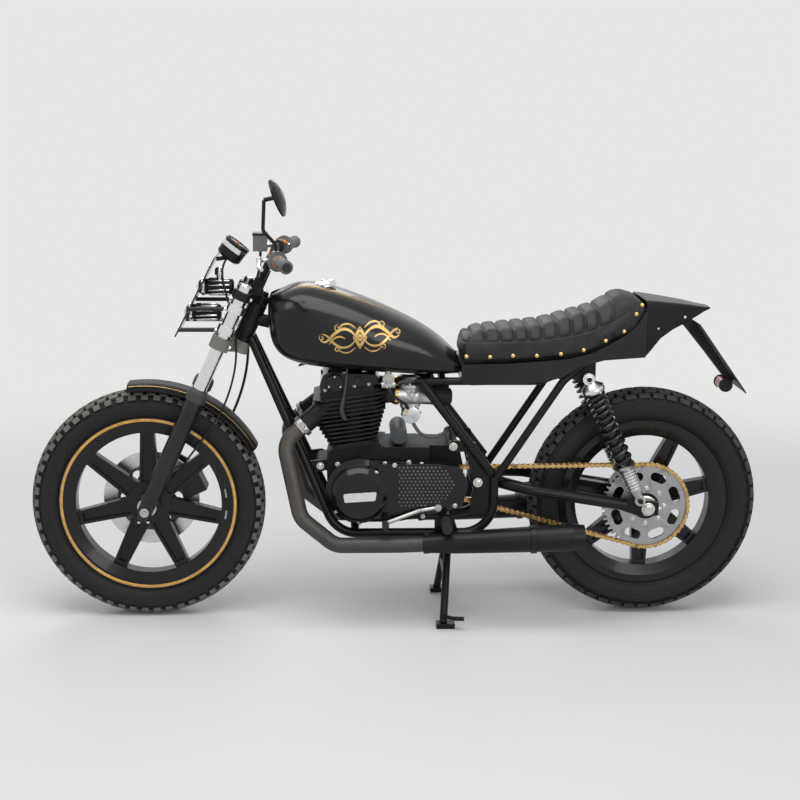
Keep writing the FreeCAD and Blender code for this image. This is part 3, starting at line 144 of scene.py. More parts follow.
floor_finish, place, shader = new_finish("pale_floor")
fill(shader, {"Base Color": place.noise(1.3, 3.0).shade((0.755, 0.753, 0.748), (0.79, 0.788, 0.783)),
              "Roughness": 0.62, "Specular IOR Level": 0.25})
tree = floor_finish.node_tree
distance = (place.part("X") ** 2 + place.part("Y") ** 2) ** 0.5
lit = Field(tree, tree.nodes["Principled BSDF"].outputs[0])
far = place.node("ShaderNodeEmission", (), {"Color": backdrop, "Strength": 1.0})
ground = lit.node("ShaderNodeMixShader", (), {0: distance.rise(1.3, 3.6), 1: lit, 2: far})
fill(tree.nodes["Material Output"].inputs, {"Surface": ground})

floor_level, floor_sides = -0.001, 64
spots = [(0.0, 0.0, floor_level)]
spots += [(radius * math.cos(k * math.tau / floor_sides), radius * math.sin(k * math.tau / floor_sides),
           floor_level) for radius in (3.0, 10.0, 60.0) for k in range(floor_sides)]
rims = [[1 + floor_sides * i + k % floor_sides for k in range(floor_sides + 1)] for i in range(3)]
faces = [(0, a, b) for a, b in zip(rims[0], rims[0][1:])]
faces += [(inner[k], outer[k], outer[k + 1], inner[k + 1])
          for inner, outer in zip(rims, rims[1:]) for k in range(floor_sides)]
mesh = bpy.data.meshes.new("studio_floor")
mesh.from_pydata(spots, [], faces)
mesh.materials.append(floor_finish)
floor = bpy.data.objects.new("studio_floor", mesh)
bpy.context.scene.collection.objects.link(floor)

world = bpy.data.worlds.new("studio")
bpy.context.scene.world = world
world.use_nodes = True
tree = world.node_tree
rays = tree.nodes.new("ShaderNodeLightPath").outputs
direct, glossy, through = (Field(tree, rays[name]) for name in (
    "Is Camera Ray", "Is Glossy Ray", "Is Transmission Ray"))
seen = direct.maths("MAXIMUM", direct, glossy.maths("MAXIMUM", glossy, through))
fill(tree.nodes["Background"].inputs, {"Color": seen.shade((0.92, 0.95, 1.0), backdrop),
                                       "Strength": 0.34 + seen * 0.66})

for name, spot, size, power in (("panel_above", (0.3, 0.9, 3.3), (3.4, 2.2), 80.0),
                                ("panel_side", (-1.9, 4.4, 2.2), (2.6, 1.8), 56.0),
                                ("panel_behind", (0.8, -3.4, 2.6), (3.0, 1.4), 36.0)):
    lamp = bpy.data.lights.new(name, "AREA")
    lamp.shape, lamp.size, lamp.size_y, lamp.energy = "RECTANGLE", *size, power
    panel = bpy.data.objects.new(name, lamp)
    bpy.context.scene.collection.objects.link(panel)
    panel.location = spot
    panel.rotation_euler = (Vector((0.0, 0.0, 0.5)) - Vector(spot)).to_track_quat("-Z", "Y").to_euler()
    panel.visible_camera = False
bpy.context.scene.view_settings.view_transform = "Standard"

# Camera: where the photograph was taken from, on the machine's left and a little above it,
# turned, tipped and rolled by small angles from a level view square to the machine.
turned_by, tipped_by, rolled_by = (math.radians(angle) for angle in (2.261, 12.308, 0.375))
ahead = Vector((-math.sin(turned_by) * math.cos(tipped_by), -math.cos(turned_by) * math.cos(tipped_by),
                -math.sin(tipped_by)))
level = Vector((-math.cos(turned_by), math.sin(turned_by), 0.0))
upright = level.cross(ahead)
right = level * math.cos(rolled_by) + upright * math.sin(rolled_by)
top = upright * math.cos(rolled_by) - level * math.sin(rolled_by)
lens = bpy.data.cameras.new("camera")
lens.lens, lens.sensor_width, lens.clip_end = 63.648, 36.0, 200.0
camera = bpy.data.objects.new("camera", lens)
bpy.context.scene.collection.objects.link(camera)
camera.matrix_world = Matrix.Translation((0.14666, 3.93688, 1.48781)) @ Matrix(
    (right, top, -ahead)).transposed().to_4x4()
bpy.context.scene.camera = camera

# Front brake hose and speedometer cable: black jacketed lines from the bar and the gauge,
# clipped to the fork, one to the caliper on the right and one to the hub on the left.


def point(x, y, z):
    return Vector((x, y, z))


front_axle, rear_axle = point(709, 0, 332), point(-711, 0, 334)
steer_up, steer_back = point(-0.417867, 0, 0.908508), point(-0.908508, 0, -0.417867)


def jacket(name, colour, roughness):
    """Extruded cover or moulded rubber: a fine grain, and dust in soft patches."""
    material, place, shader = new_finish(name)
    drift = place.noise(24.0, 3.0)
    fill(shader, {"Base Color": drift.rise(0.35, 0.7).shade(colour, [0.6 * c + 0.014 for c in colour]),
                  "Roughness": drift * 0.2 + roughness, "Specular IOR Level": 0.28,
                  "Normal": place.noise(900.0, 1.0).bump(0.25, 0.0006)})
    return material


cord_black = jacket("cord_black", (0.012, 0.012, 0.013), 0.28)


def cord_piece(name, route, radius, replaced):
    """A round cord along one smooth line that has the route's points as its handles."""
    curve = bpy.data.curves.new(name, "CURVE")
    curve.dimensions = "3D"
    spline = curve.splines.new("NURBS")
    spline.points.add(len(route) - 1)
    for handle, spot in zip(spline.points, route):
        handle.co = (*(spot * mm), 1.0)
    spline.order_u = 3
    spline.use_endpoint_u = True
    spline.resolution_u = 8
    curve.bevel_depth, curve.bevel_resolution = radius * mm, 4
    curve.use_fill_caps = True
    curve.materials.append(cord_black)
    piece = bpy.data.objects.new(name, curve)
    bpy.context.scene.collection.objects.link(piece)
    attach(piece, "steering")
    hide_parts(replaced)


perch = point(329.19, 193.99, 1047.99)
caliper_out, caliper_on = point(-0.906308, 0, 0.422618), point(0.422618, 0, 0.906308)
caliper = front_axle + caliper_out * 124
outlet = point(perch.x + 63, 22 - perch.y, perch.z - 12.3)
union = caliper + caliper_on * -13 + point(0, -102.3, 0)
hose = [outlet, outlet - point(0, 0, 44), outlet + point(14, 22, -94)]
hose += [front_axle + point(*step) for step in (
    (-287, -130, 548), (-285, -126, 490), (-281, -123, 432), (-277, -121, 374), (-265, -120, 318),
    (-247, -121, 264), (-222, -124, 210), (-192, -128, 160), (-161, -131, 116), (-135, -133, 78))]
cord_piece("front_brake_hose", hose + [union - point(0, 28, 0), union], 4.0, "brake_hose")
gauge, gauge_way = front_axle + point(-251, 0, 722), point(-0.6, 0, 0.8)
drive, drive_way = front_axle + point(0, 58, 0), point(-56, 0, 60).normalized()
back = gauge - gauge_way * 26.3 + point(0, 18, 0)
cable = [back, back - gauge_way * 16]
cable += [front_axle + point(*step) for step in (
    (-222, 34, 660), (-232, 52, 614), (-246, 60, 566), (-257, 62, 516), (-261, 63, 464),
    (-258, 65, 410), (-247, 68, 360), (-231, 70, 311), (-208, 69, 265), (-179, 65, 222),
    (-147, 61, 179), (-115, 58.5, 136), (-84, 58, 96))]
cable += [drive + drive_way * 94, drive + drive_way * 34.3]
cord_piece("speedometer_drive_cable", cable, 3.0, "speedometer_cable")

# Frame: steel tubes welded together and sprayed satin black, with zinc plated bolts where the
# engine and the stand are held. The swingarm and the stand have the same coat, rubbed thin on
# its edges; the yokes have their own.


def sprayed(name, colour, roughness, coat=0.0, skin=650.0, depth=0.25, rubbed=(0.06, 0.06, 0.062),
            wear=0.45, edge=0.9, shine=0.2):
    """Paint on metal: slow drift of tone, a fine skin, soft edges where it has rubbed thin."""
    material, place, shader = new_finish(name)
    drift, fine, eased = place.noise(7.0, 4.0), place.noise(skin), place.eased(edge)
    thin = eased.edges().rise(0.01, 0.16) * place.noise(90.0, 3.0).rise(0.38, 0.62) * wear
    tone = drift.rise(0.35, 0.65).shade([0.8 * c for c in colour], [1.25 * c + 0.001 for c in colour])
    fill(shader, {"Base Color": thin.shade(tone, rubbed), "Specular IOR Level": shine,
                  "Roughness": drift * 0.12 + fine * 0.05 + (roughness - 0.08),
                  "Coat Weight": coat, "Coat Roughness": 0.08, "Normal": fine.bump(depth, 0.0003, eased)})
    return material


def dress(material, *names):
    """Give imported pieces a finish."""
    for name in names:
        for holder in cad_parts[name].material_slots:
            holder.material = material


satin_black = sprayed("satin_black", (0.008, 0.008, 0.009), 0.30)
dress(satin_black, "frame", "swingarm", "centre_stand")
dress(sprayed("yoke_black", (0.010, 0.010, 0.011), 0.34, depth=0.4), "upper_yoke")
dress(sprayed("yoke_grey", (0.20, 0.195, 0.175), 0.5, depth=0.4, rubbed=(0.34, 0.33, 0.31)), "lower_yoke")

left, up = point(0, 1, 0), point(0, 0, 1)
both_sides = ((1, left), (-1, -left))


def square_to(way):
    """Two directions square to a given one and to each other."""
    way = way.normalized()
    side = way.cross(up if abs(way.z) < 0.9 else point(1, 0, 0)).normalized()
    return side, way.cross(side)


def ray_round(way, angle):
    """Direction square to a line, at an angle round it."""
    one, two = square_to(way)
    return one * math.cos(angle) + two * math.sin(angle)


class Piece:
    """A mesh in the making, gathered from turned, bent and flat shapes."""

    def __init__(self):
        self.points, self.faces, self.marks = [], [], []

    def add(self, points, faces, marks=()):
        """Take in a shape; a mark for each point can tell its finish apart."""
        start = len(self.points)
        self.points += points
        self.faces += [[start + i for i in face] for face in faces]
        self.marks += marks or [0.0] * len(points)
        return self

    def rows(self, rows, loop=False, marks=()):
        """Skin between rows of points, each row a closed ring, with caps unless they loop."""
        count, last = len(rows[0]), (len(rows) - 1) * len(rows[0])
        faces = [] if loop else [list(range(count))[::-1], list(range(last, last + count))]
        for i in range(len(rows) - (not loop)):
            a, b = i * count, (i + 1) % len(rows) * count
            faces += [(a + k, a + (k + 1) % count, b + (k + 1) % count, b + k) for k in range(count)]
        return self.add([spot for row in rows for spot in row], faces, marks)

    def turned(self, outline, centre, way, sides=24, loop=False):
        """Lathe work: an outline of (along, radius) points turned about a line."""
        way = way.normalized()
        spin = [ray_round(way, k * math.tau / sides) for k in range(sides)]
        return self.rows([[centre + way * along + ray * max(radius, 0.02) for ray in spin]
                          for along, radius in outline], loop)

    def tube(self, route, radius, sides=10):
        """Wire or pipe along a row of points, of one radius or of one for each point."""
        side, rows = None, []
        for i, spot in enumerate(route):
            way = (route[min(i + 1, len(route) - 1)] - route[max(i - 1, 0)]).normalized()
            side = square_to(way)[0] if side is None else (side - way * side.dot(way)).normalized()
            other = way.cross(side)
            size = radius[i] if isinstance(radius, list) else radius
            rows.append([spot + (side * math.cos(k * math.tau / sides)
                                 + other * math.sin(k * math.tau / sides)) * size for k in range(sides)])
        return self.rows(rows)

    def slab(self, outline, depth):
        """Flat plate: an outline of points moved through a depth."""
        return self.rows([outline, [spot + depth for spot in outline]])

    def strip(self, one, other):
        """Band between two lines of as many points, unless one of them missed its surface."""
        count = len(one)
        if None not in one + other:
            self.add(one + other, [(i, i + 1, count + i + 1, count + i) for i in range(count - 1)])

    def bolt(self, centre, way, size, height, washer=True, socket=False):
        """Hexagon or cap head with its washer, standing on a surface."""
        if washer:
            self.turned([(-0.4, size * 1.5), (1.0, size * 1.5), (1.2, size * 1.4)], centre, way, 20)
        if socket:
            return self.turned([(1, size), (height, size), (height + 0.6, size * 0.9),
                                (height + 0.6, size * 0.5), (height - 1.8, size * 0.45)], centre, way, 16)
        return self.turned([(1, size), (height, size), (height + 0.7, size * 0.86)], centre, way, 6)

    def make(self, name, material, slot, body="frame", replaced=(), crease=34.0):
        """Turn what was gathered into one piece of the machine."""
        mesh = bpy.data.meshes.new(name)
        mesh.from_pydata([spot * mm for spot in self.points], [], self.faces)
        if any(self.marks):
            mesh.attributes.new("mark", "FLOAT", "POINT").data.foreach_set("value", self.marks)
        shape = bmesh.new()
        shape.from_mesh(mesh)
        bmesh.ops.recalc_face_normals(shape, faces=shape.faces)
        shape.to_mesh(mesh)
        shape.free()
        mesh.materials.append(material)
        mesh.shade_smooth()
        mesh.set_sharp_from_angle(angle=math.radians(crease))
        piece = bpy.data.objects.new(name, mesh)
        bpy.context.scene.collection.objects.link(piece)
        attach(piece, body)
        if replaced:
            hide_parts(*replaced)
        return piece


def bare_metal(name, colour, roughness, grime=0.5, dirt=(0.035, 0.032, 0.028)):
    """Unpainted metal: cloudy tone, fine pitting and dirt that settles in patches."""
    material, place, shader = new_finish(name)
    cloud, pits = place.noise(38.0, 4.0), place.noise(1100.0)
    soil = cloud.rise(0.5, 0.72) * grime
    clean = pits.rise(0.2, 0.8).shade([0.88 * c for c in colour], colour)
    fill(shader, {"Base Color": soil.shade(clean, dirt), "Metallic": 1.0 - soil * 0.8,
                  "Roughness": cloud * 0.14 + soil * 0.3 + (roughness - 0.07),
                  "Normal": pits.bump(0.12, 0.0003, place.eased(0.6))})
    return material


plated = bare_metal("plated_steel", (0.80, 0.80, 0.81), 0.12, grime=0.06)
zinc = bare_metal("zinc_bolts", (0.62, 0.60, 0.56), 0.28, grime=0.3)
fixings, seams = Piece(), Piece()
for side, out in both_sides:
    for x, y, z, size, height in ((-155.8, 92, 514, 8, 7), (-201.8, 92, 490, 6, 5), (217.96, 68.6, 453, 7, 6),
                                  (-225.04, 110, 414, 9, 6), (-150.04, 62, 222, 7, 5)):
        fixings.bolt(point(x, side * y, z), out, size, height)
    for centre, way, radius in ((point(265, 36.5 * side, 742), point(-0.30, 0.27 * side, -0.91), 13.4),
                                (point(-451, 97 * side, 706), point(-0.62, -0.03 * side, 0.78), 11.6)):
        seams.turned([(0.0, radius), (1.6, radius + 1.1), (3.4, radius + 1.2), (5.0, radius)],
                     centre, way, 28)
fixings.make("frame_bolts", zinc, "frame")
seams.make("weld_beads", satin_black, "frame")

# Swingarm ends: forged plates with an adjuster screw each side. The axle nut has a broad
# washer under it, and the lower bolt of the shock absorber stands above the arm.
adjusters = Piece()
for side, out in both_sides:
    face, screw = rear_axle + out * 112, rear_axle + point(-30, side * 105, 0)
    adjusters.turned([(-0.2, 19), (2.2, 19), (2.6, 18)], face, out, 32)
    adjusters.turned([(2.2, 15.4), (11.5, 15.4), (13.2, 13.4), (13.2, 9), (12, 8)], face, out, 6)
    adjusters.tube([screw + point(6, 0, 0), screw - point(9, 0, 0)], 4.0, 12)
    adjusters.turned([(0, 7.5), (5, 7.5), (5.6, 6.8)], screw, point(-1, 0, 0), 6)
    adjusters.turned([(0, 9), (1.6, 9)], face + point(38, -2 * side, 8), out, 6)
    adjusters.bolt(point(-681.5, side * 131.5, 366.7), out, 8, 6)
adjusters.make("axle_adjusters", zinc, "swingarm")
dress(bare_metal("axle_steel", (0.6, 0.6, 0.6), 0.24, grime=0.2), "rear_axle", "front_axle")

# Wheels: cast alloy in black paint with seven ribbed spokes. The front rim carries a thin
# gold line on both faces, and small lead weights are clipped to its lip.
dress(sprayed("wheel_black", (0.007, 0.007, 0.008), 0.24, coat=0.2, skin=420.0, depth=0.3),
      "front_wheel_casting", "rear_wheel_casting")


def heading(angle):
    """Direction in the machine's upright plane."""
    return point(math.cos(angle), 0, math.sin(angle))


def spun(centre, degrees, radius, aside=0.0):
    """Point on a circle about a line that runs across the machine."""
    return centre + heading(math.radians(degrees)) * radius + left * aside


def gold_leaf(name, colour, roughness=0.34):
    """Gold paint: metal flake, patchy where the brush was thin."""
    material, place, shader = new_finish(name)
    flake, patch = place.noise(1600.0), place.noise(46.0, 3.0)
    fill(shader, {"Base Color": patch.rise(0.3, 0.7).shade([0.72 * c for c in colour], colour),
                  "Metallic": 0.55 + flake * 0.3, "Roughness": patch * 0.12 + (roughness - 0.06),
                  "Normal": flake.bump(0.3, 0.0003)})
    return material


gold_line = gold_leaf("gold_line", (0.74, 0.45, 0.12))
rim_line, weights = Piece(), Piece()
for side, out in both_sides:
    rim_line.turned([(33.0, 242.4), (33.5, 243.0), (33.5, 250.4), (33.0, 251.0)], front_axle, out, 160,
                    loop=True)
rim_line.make("front_rim_gold_line", gold_line, "front_wheel_casting", "front_wheel")
for angle in (172.0, 188.6):
    weights.tube([spun(front_axle, angle + step, 222, 27.5) for step in (-3.2, -1.6, 0, 1.6, 3.2)], 3.4, 8)
weights.make("wheel_weights", bare_metal("wheel_weight_lead", (0.45, 0.45, 0.46), 0.45, grime=0.3),
             "front_wheel_casting", "front_wheel")
for wheel, axle, face, radius in (("front_wheel", front_axle, 30.2, 26.0),
                                  ("rear_wheel", rear_axle, 34.2, 38.0)):
    hub_screws = Piece()
    for k in range(6):
        hub_screws.turned([(-0.3, 4.6), (1.6, 4.6), (2.2, 3.8), (2.2, 2.2), (1.2, 2.0)],
                          spun(axle, 60 * k + 30, radius, face), left, 14)
    hub_screws.make(wheel.replace("wheel", "hub_screws"), zinc, wheel + "_casting", wheel)
for wheel, axle, inner, angle in (("front_wheel", front_axle, 207.0, 115.0),
                                  ("rear_wheel", rear_axle, 195.0, 65.0)):
    Piece().turned([(0, 4.5), (-8, 4.2), (-10, 2.6), (-26, 2.6), (-26.5, 3.6), (-33, 3.6), (-34, 3.0)],
                   spun(axle, angle, inner, 6), heading(math.radians(angle)), 12
                   ).make(wheel + "_valve", cord_black, wheel + "_casting", wheel)

# Tyres: moulded block tread, cut here on a grid whose lines follow the blocks' edges, with
# fine moulding rings on the sidewalls. Block tops are paler than the grooves, partly from
# scuffing and partly as a painted highlight.


def from_axle(place, axle):
    """Distance from a wheel's axle, in metres."""
    return ((place.part("X") - axle.x * mm) ** 2 + (place.part("Z") - axle.z * mm) ** 2) ** 0.5


def tyre_rubber(name, colour, scuffed_and_lit, axle):
    """Tyre rubber: block tops paler by wear and painted highlight, rougher; moulded rings on the walls."""
    material, place, shader = new_finish(name)
    top_face = place.node("ShaderNodeAttribute", {"attribute_name": "mark"}, (), "Fac")
    dust, grain, out = place.noise(30.0, 4.0), place.noise(900.0, 3.0), from_axle(place, axle)
    rings = (out * 1450.0).maths("SINE") * out.rise(0.258, 0.264) * (1.0 - out.rise(0.286, 0.290))
    # Block top colour: scuffed rubber with a painted highlight in it.
    tone = (top_face * (dust.rise(0.25, 0.65) * 0.5 + 0.5)).shade(colour, scuffed_and_lit)
    fill(shader, {"Base Color": (dust.rise(0.55, 0.8) * 0.3).shade(tone, (0.040, 0.037, 0.033)),
                  "Roughness": 0.50 + top_face * 0.24 + dust * 0.14, "Specular IOR Level": 0.25,
                  "Normal": (grain * 0.4 + rings * 0.5).bump(0.5, 0.0009)})
    return material


def smooth_line(handles, steps):
    """Points along a smooth line that passes through its handles."""
    handles = [Vector((*spot, 0.0)) if len(spot) == 2 else Vector(spot) for spot in handles]
    line = []
    for i in range(len(handles) - 1):
        p0, p1 = handles[max(i - 1, 0)], handles[i]
        p2, p3 = handles[i + 1], handles[min(i + 2, len(handles) - 1)]
        for t in (k / steps for k in range(steps)):
            line.append(0.5 * (2 * p1 + (p2 - p0) * t + (2 * p0 - 5 * p1 + 4 * p2 - p3) * t * t
                               + (3 * p1 - p0 - 3 * p2 + p3) * t ** 3))
    return line + [handles[-1]]


def tyre(end, axle, radius, half, bead, rim_half, pitches, material, bands):
    """One tyre: bands are (from, to, length, shift, sipe) rows of blocks beside the middle."""
    edge, tread, sipe_top = 0.7, 8.2, 0.35
    depth, pitch = radius - bead, math.tau * radius / pitches
    crown = smooth_line([(share * half, radius - drop * depth) for share, drop in (
        (0.0, 0.0), (0.25, 0.009), (0.48, 0.035), (0.70, 0.085), (0.86, 0.16), (0.99, 0.32))], 14)
    lengths = [0.0]
    for a, b in zip(crown, crown[1:]):
        lengths.append(lengths[-1] + (b - a).length)

    def on_crown(across):
        """Place, radius and outward lean at a distance over the crown from its middle."""
        across = min(across, lengths[-1] - 0.01)
        i = next(k for k in range(len(lengths) - 1) if lengths[k + 1] > across)
        step = crown[i + 1] - crown[i]
        spot = crown[i] + step * ((across - lengths[i]) / (lengths[i + 1] - lengths[i]))
        way = step.normalized()
        return spot.x, spot.y, Vector((-way.y, way.x, 0.0))

    cuts, ends = {0.0, lengths[-1]}, {0.0}
    for low, high, length, shift, sipe in bands:
        cuts |= {low, low + edge, high - edge, high}
        for end_at, inward in ((shift * pitch - length / 2, edge), (shift * pitch + length / 2, -edge)):
            ends |= {end_at % pitch, (end_at + inward) % pitch}
        if sipe:
            cuts |= {sipe - 1.2, sipe - 0.7, sipe + 0.7, sipe + 1.2}
    for a, b in zip(sorted(cuts), sorted(cuts)[1:]):
        if b - a > 7:
            parts = int((b - a) / 4)
            cuts |= {a + (b - a) * k / parts for k in range(1, parts)}
    ends |= {(a + b) / 2 for a, b in zip(sorted(ends), sorted(ends)[1:] + [pitch]) if b - a > 6}

    def height(across, along):
        """1 on top of a block, less in its sipe, 0 in the grooves."""
        for low, high, length, shift, sipe in bands:
            away = abs((along - shift * pitch + pitch / 2) % pitch - pitch / 2)
            if low + edge - 0.01 <= across <= high - edge + 0.01 and away <= length / 2 - edge + 0.01:
                return sipe_top if sipe and abs(across - sipe) < 0.9 else 1.0
        return 0.0

    inside, flange = rim_half - 5.3, bead + 14.0
    wall = smooth_line([(0.985 * half, radius - 0.32 * depth), (half - 0.4, radius - 0.46 * depth),
                        (0.975 * half, radius - 0.58 * depth), (0.90 * half, radius - 0.70 * depth),
                        (0.79 * half, radius - 0.78 * depth), (inside + 6, flange + 2.5)], 6)[1:]
    for i in range(6, len(wall)):
        if i % 6 in (1, 4):
            wall[i].x -= 0.7
    wall += [Vector((y, r, 0)) for y, r in (
        (inside, flange), (inside, bead + 0.5), (inside - 4, bead + 0.5))]
    steps = [((j + spot / pitch) * math.tau / pitches, spot) for j in range(pitches) for spot in sorted(ends)]
    halves = []
    for side in (1, -1):
        strip = []
        for across in sorted(cuts):
            y, r, normal = on_crown(across)
            row, marks = [], []
            for angle, along in steps:
                top_here = height(across, (along + (0.0 if side > 0 else pitch / 2)) % pitch)
                drop = tread * (1 - top_here)
                rr, yy = r - normal.y * drop, y - normal.x * drop
                row.append(axle + point(math.cos(angle) * rr, side * yy, math.sin(angle) * rr))
                marks.append(1.0 if top_here == 1.0 else 0.0)
            strip.append((row, marks))
        for spot in wall:
            strip.append(([axle + point(math.cos(angle) * spot.y, side * spot.x, math.sin(angle) * spot.y)
                           for angle, _ in steps], [0.0] * len(steps)))
        halves.append(strip)
    rows = halves[1][::-1][:-1] + halves[0]
    Piece().rows([row for row, _ in rows], loop=True, marks=[m for _, marks in rows for m in marks]).make(
        end + "_tyre_road", material, end + "_tyre", end + "_wheel", (end + "_tyre",), crease=30.0)


# The front's block tops are painted much paler than the rear's: scuffing and a painted highlight.
tyre("front", front_axle, 332.0, 50.0, 241.0, 33.0, 57,
     tyre_rubber("front_tyre_rubber", (0.013, 0.013, 0.013), (0.175, 0.168, 0.152), front_axle),
     ((1.2, 18.5, 27.5, 0.25, 10.0), (21.0, 38.0, 27.0, 0.75, 0.0), (40.5, 57.0, 22.0, 0.25, 0.0)))
tyre("rear", rear_axle, 330.0, 57.0, 228.5, 38.0, 50,
     tyre_rubber("rear_tyre_rubber", (0.011, 0.011, 0.011), (0.062, 0.060, 0.056), rear_axle),
     ((0.0, 14.0, 33.0, 0.25, 0.0), (17.5, 36.0, 33.0, 0.75, 0.0), (39.5, 58.0, 33.0, 0.25, 0.0)))

# Front brake: one steel disc on the right, turned bright where the pads run, on a brownish
# carrier, with a black painted caliper behind the fork leg.
disc_finish, place, shader = new_finish("disc_steel")
reach, blotch = from_axle(place, front_axle), place.noise(42.0, 4.0)
swept_band = reach.rise(0.0975, 0.0985)
carrier = blotch.rise(0.35, 0.7).shade((0.10, 0.075, 0.055), (0.21, 0.18, 0.15))
fill(shader, {"Base Color": swept_band.shade(carrier, (0.62, 0.62, 0.61)),
              "Metallic": 0.75 + swept_band * 0.25,
              "Roughness": 0.42 - swept_band * 0.2 + blotch * 0.1,
              "Normal": (reach * 5200.0).maths("SINE").bump(0.15, 0.0003)})
dress(disc_finish, "front_disc")
rotor_bolts, pad_pins = Piece(), Piece()
for k in range(6):
    rotor_bolts.bolt(spun(front_axle, 60 * k, 62, -46), -left, 5.5, 4)
rotor_bolts.make("disc_bolts", zinc, "front_disc", "front_wheel")
dress(sprayed("caliper_black", (0.02, 0.02, 0.021), 0.42, skin=800.0, depth=0.5),
      "brake_caliper", "rear_brake")
caliper_face = caliper - left * 85.7
for along in (-30, 18):
    pad_pins.bolt(caliper_face + caliper_on * along + caliper_out * 22, -left, 4.5, 3.5)
pad_pins.turned([(0, 13), (3, 13), (3.6, 12), (3.6, 6), (2.2, 5)], caliper_face + caliper_on * 20, -left, 28)
pad_pins.turned([(0, 7), (8, 7), (8.8, 6)], union + left * 3, -left, 6)
pad_pins.make("caliper_bolts", zinc, "brake_caliper", "steering")

# Chain drive: a gold-plated roller chain of 104 links of 15.875 mm pitch, over a 48 tooth
# alloy ring at the wheel and a 16 tooth steel sprocket under the engine's left cover.
chain_pitch, chain_links, chain_y, quarter = 15.875, 104, 74.0, math.pi / 2
rear_pitch = chain_pitch / (2 * math.sin(math.pi / 48))
front_pitch = chain_pitch / (2 * math.sin(math.pi / 16))
low, high = rear_pitch, chain_pitch * chain_links / 2
for _ in range(60):
    shafts_apart = (low + high) / 2
    lean = math.asin((rear_pitch - front_pitch) / shafts_apart)
    length = (2 * shafts_apart * math.cos(lean) + rear_pitch * (math.pi + 2 * lean)
              + front_pitch * (math.pi - 2 * lean))
    low, high = (low, shafts_apart) if length > chain_pitch * chain_links else (shafts_apart, high)
output_rise = math.radians(7.7)
output_shaft = rear_axle + heading(output_rise) * shafts_apart
run, front_wrap = shafts_apart * math.cos(lean), front_pitch * (math.pi - 2 * lean)


def on_chain(distance):
    """Place of a pin on the chain's line, from the top of the rear ring forward."""
    distance %= chain_pitch * chain_links
    upper, lower = output_rise - lean, output_rise + lean + math.pi
    if distance < run:
        return rear_axle + heading(upper + quarter) * rear_pitch + heading(upper) * distance
    distance -= run
    if distance < front_wrap:
        return output_shaft + heading(upper - distance / front_pitch + quarter) * front_pitch
    distance -= front_wrap
    if distance < run:
        return output_shaft + heading(lower + quarter) * front_pitch + heading(lower) * distance
    return rear_axle + heading(lower - (distance - run) / rear_pitch + quarter) * rear_pitch


teeth_past = (output_rise - lean) / (math.tau / 48)
first_pin = (math.ceil(-teeth_past) + teeth_past) * chain_pitch
pins = [on_chain(first_pin + k * chain_pitch) for k in range(chain_links)]
plate_end, plate_waist, plate_thick, inner_plate, outer_plate = 6.5, 3.2, 1.8, 4.9, 7.0
plate_arc = [math.radians(22 * step - 66) for step in range(7)]
chain = Piece()
for k in range(chain_links):
    a, b = pins[k], pins[(k + 1) % chain_links]
    way = (b - a).normalized()
    square = point(-way.z, 0, way.x)
    outline = []
    for centre, sign in ((a, -1), (b, 1)):
        outline += [centre + (way * math.cos(turn) + square * math.sin(turn)) * (plate_end * sign)
                    for turn in plate_arc]
        outline.append((a + b) / 2 + square * (plate_waist * sign))
    for side, out in both_sides:
        near = left * (chain_y + side * (inner_plate if k % 2 else outer_plate))
        chain.slab([spot + near for spot in outline], out * plate_thick)
    chain.turned([(-4.8, 5.0), (4.8, 5.0)], a + left * chain_y, left, 12)
    chain.turned([(-9.6, 1.8), (-9.3, 2.5), (9.3, 2.5), (9.6, 1.8)], a + left * chain_y, left, 8)
chain.make("roller_chain", bare_metal("chain_gold", (0.56, 0.38, 0.15), 0.30, grime=0.8,
                                      dirt=(0.03, 0.02, 0.012)), "drive_chain", replaced=("drive_chain",))
dress(bare_metal("sprocket_alloy", (0.36, 0.37, 0.365), 0.42, grime=0.3), "rear_sprocket", "front_sprocket")
ring_bolts = Piece()
for k in range(8):
    ring_bolts.bolt(spun(rear_axle, 45 * k + 45, 52, 77.5), left, 5.2, 5)
ring_bolts.turned([(-1, 30), (2.2, 30), (3.2, 28.5), (3.2, 20), (6.0, 19), (6.6, 17.5), (6.6, 16)],
                  rear_axle + left * 77.4, left, 40)
ring_bolts.make("sprocket_bolts", zinc, "rear_sprocket", "rear_wheel")

# Shock absorbers: plated upper clevis and flange, black progressive spring, and a ribbed
# alloy lower body that bolts to the swingarm.
shock_alloy, place, shader = new_finish("shock_alloy")
height, cloud = place.part("Z"), place.noise(38.0, 4.0)
damper = height.rise(0.468, 0.472) * (1.0 - height.rise(0.672, 0.676))
alloy = cloud.rise(0.3, 0.7).shade((0.34, 0.34, 0.34), (0.50, 0.50, 0.50))
fill(shader, {"Base Color": damper.shade(alloy, (0.010, 0.010, 0.011)), "Metallic": 1.0 - damper,
              "Roughness": 0.22 + cloud * 0.15, "Normal": cloud.bump(0.1, 0.0005)})
dress(shock_alloy, "shock_bodies")
spring_black = sprayed("spring_black", (0.010, 0.010, 0.011), 0.20, coat=0.6, wear=0.6,
                       rubbed=(0.10, 0.095, 0.085))
springs, caps = Piece(), Piece()
coil_turns, coil_steps = 11, 11 * 18
coil_from, coil_length, wound_closer, coil_radius = 46.5, 219.5, 0.07, 24.5
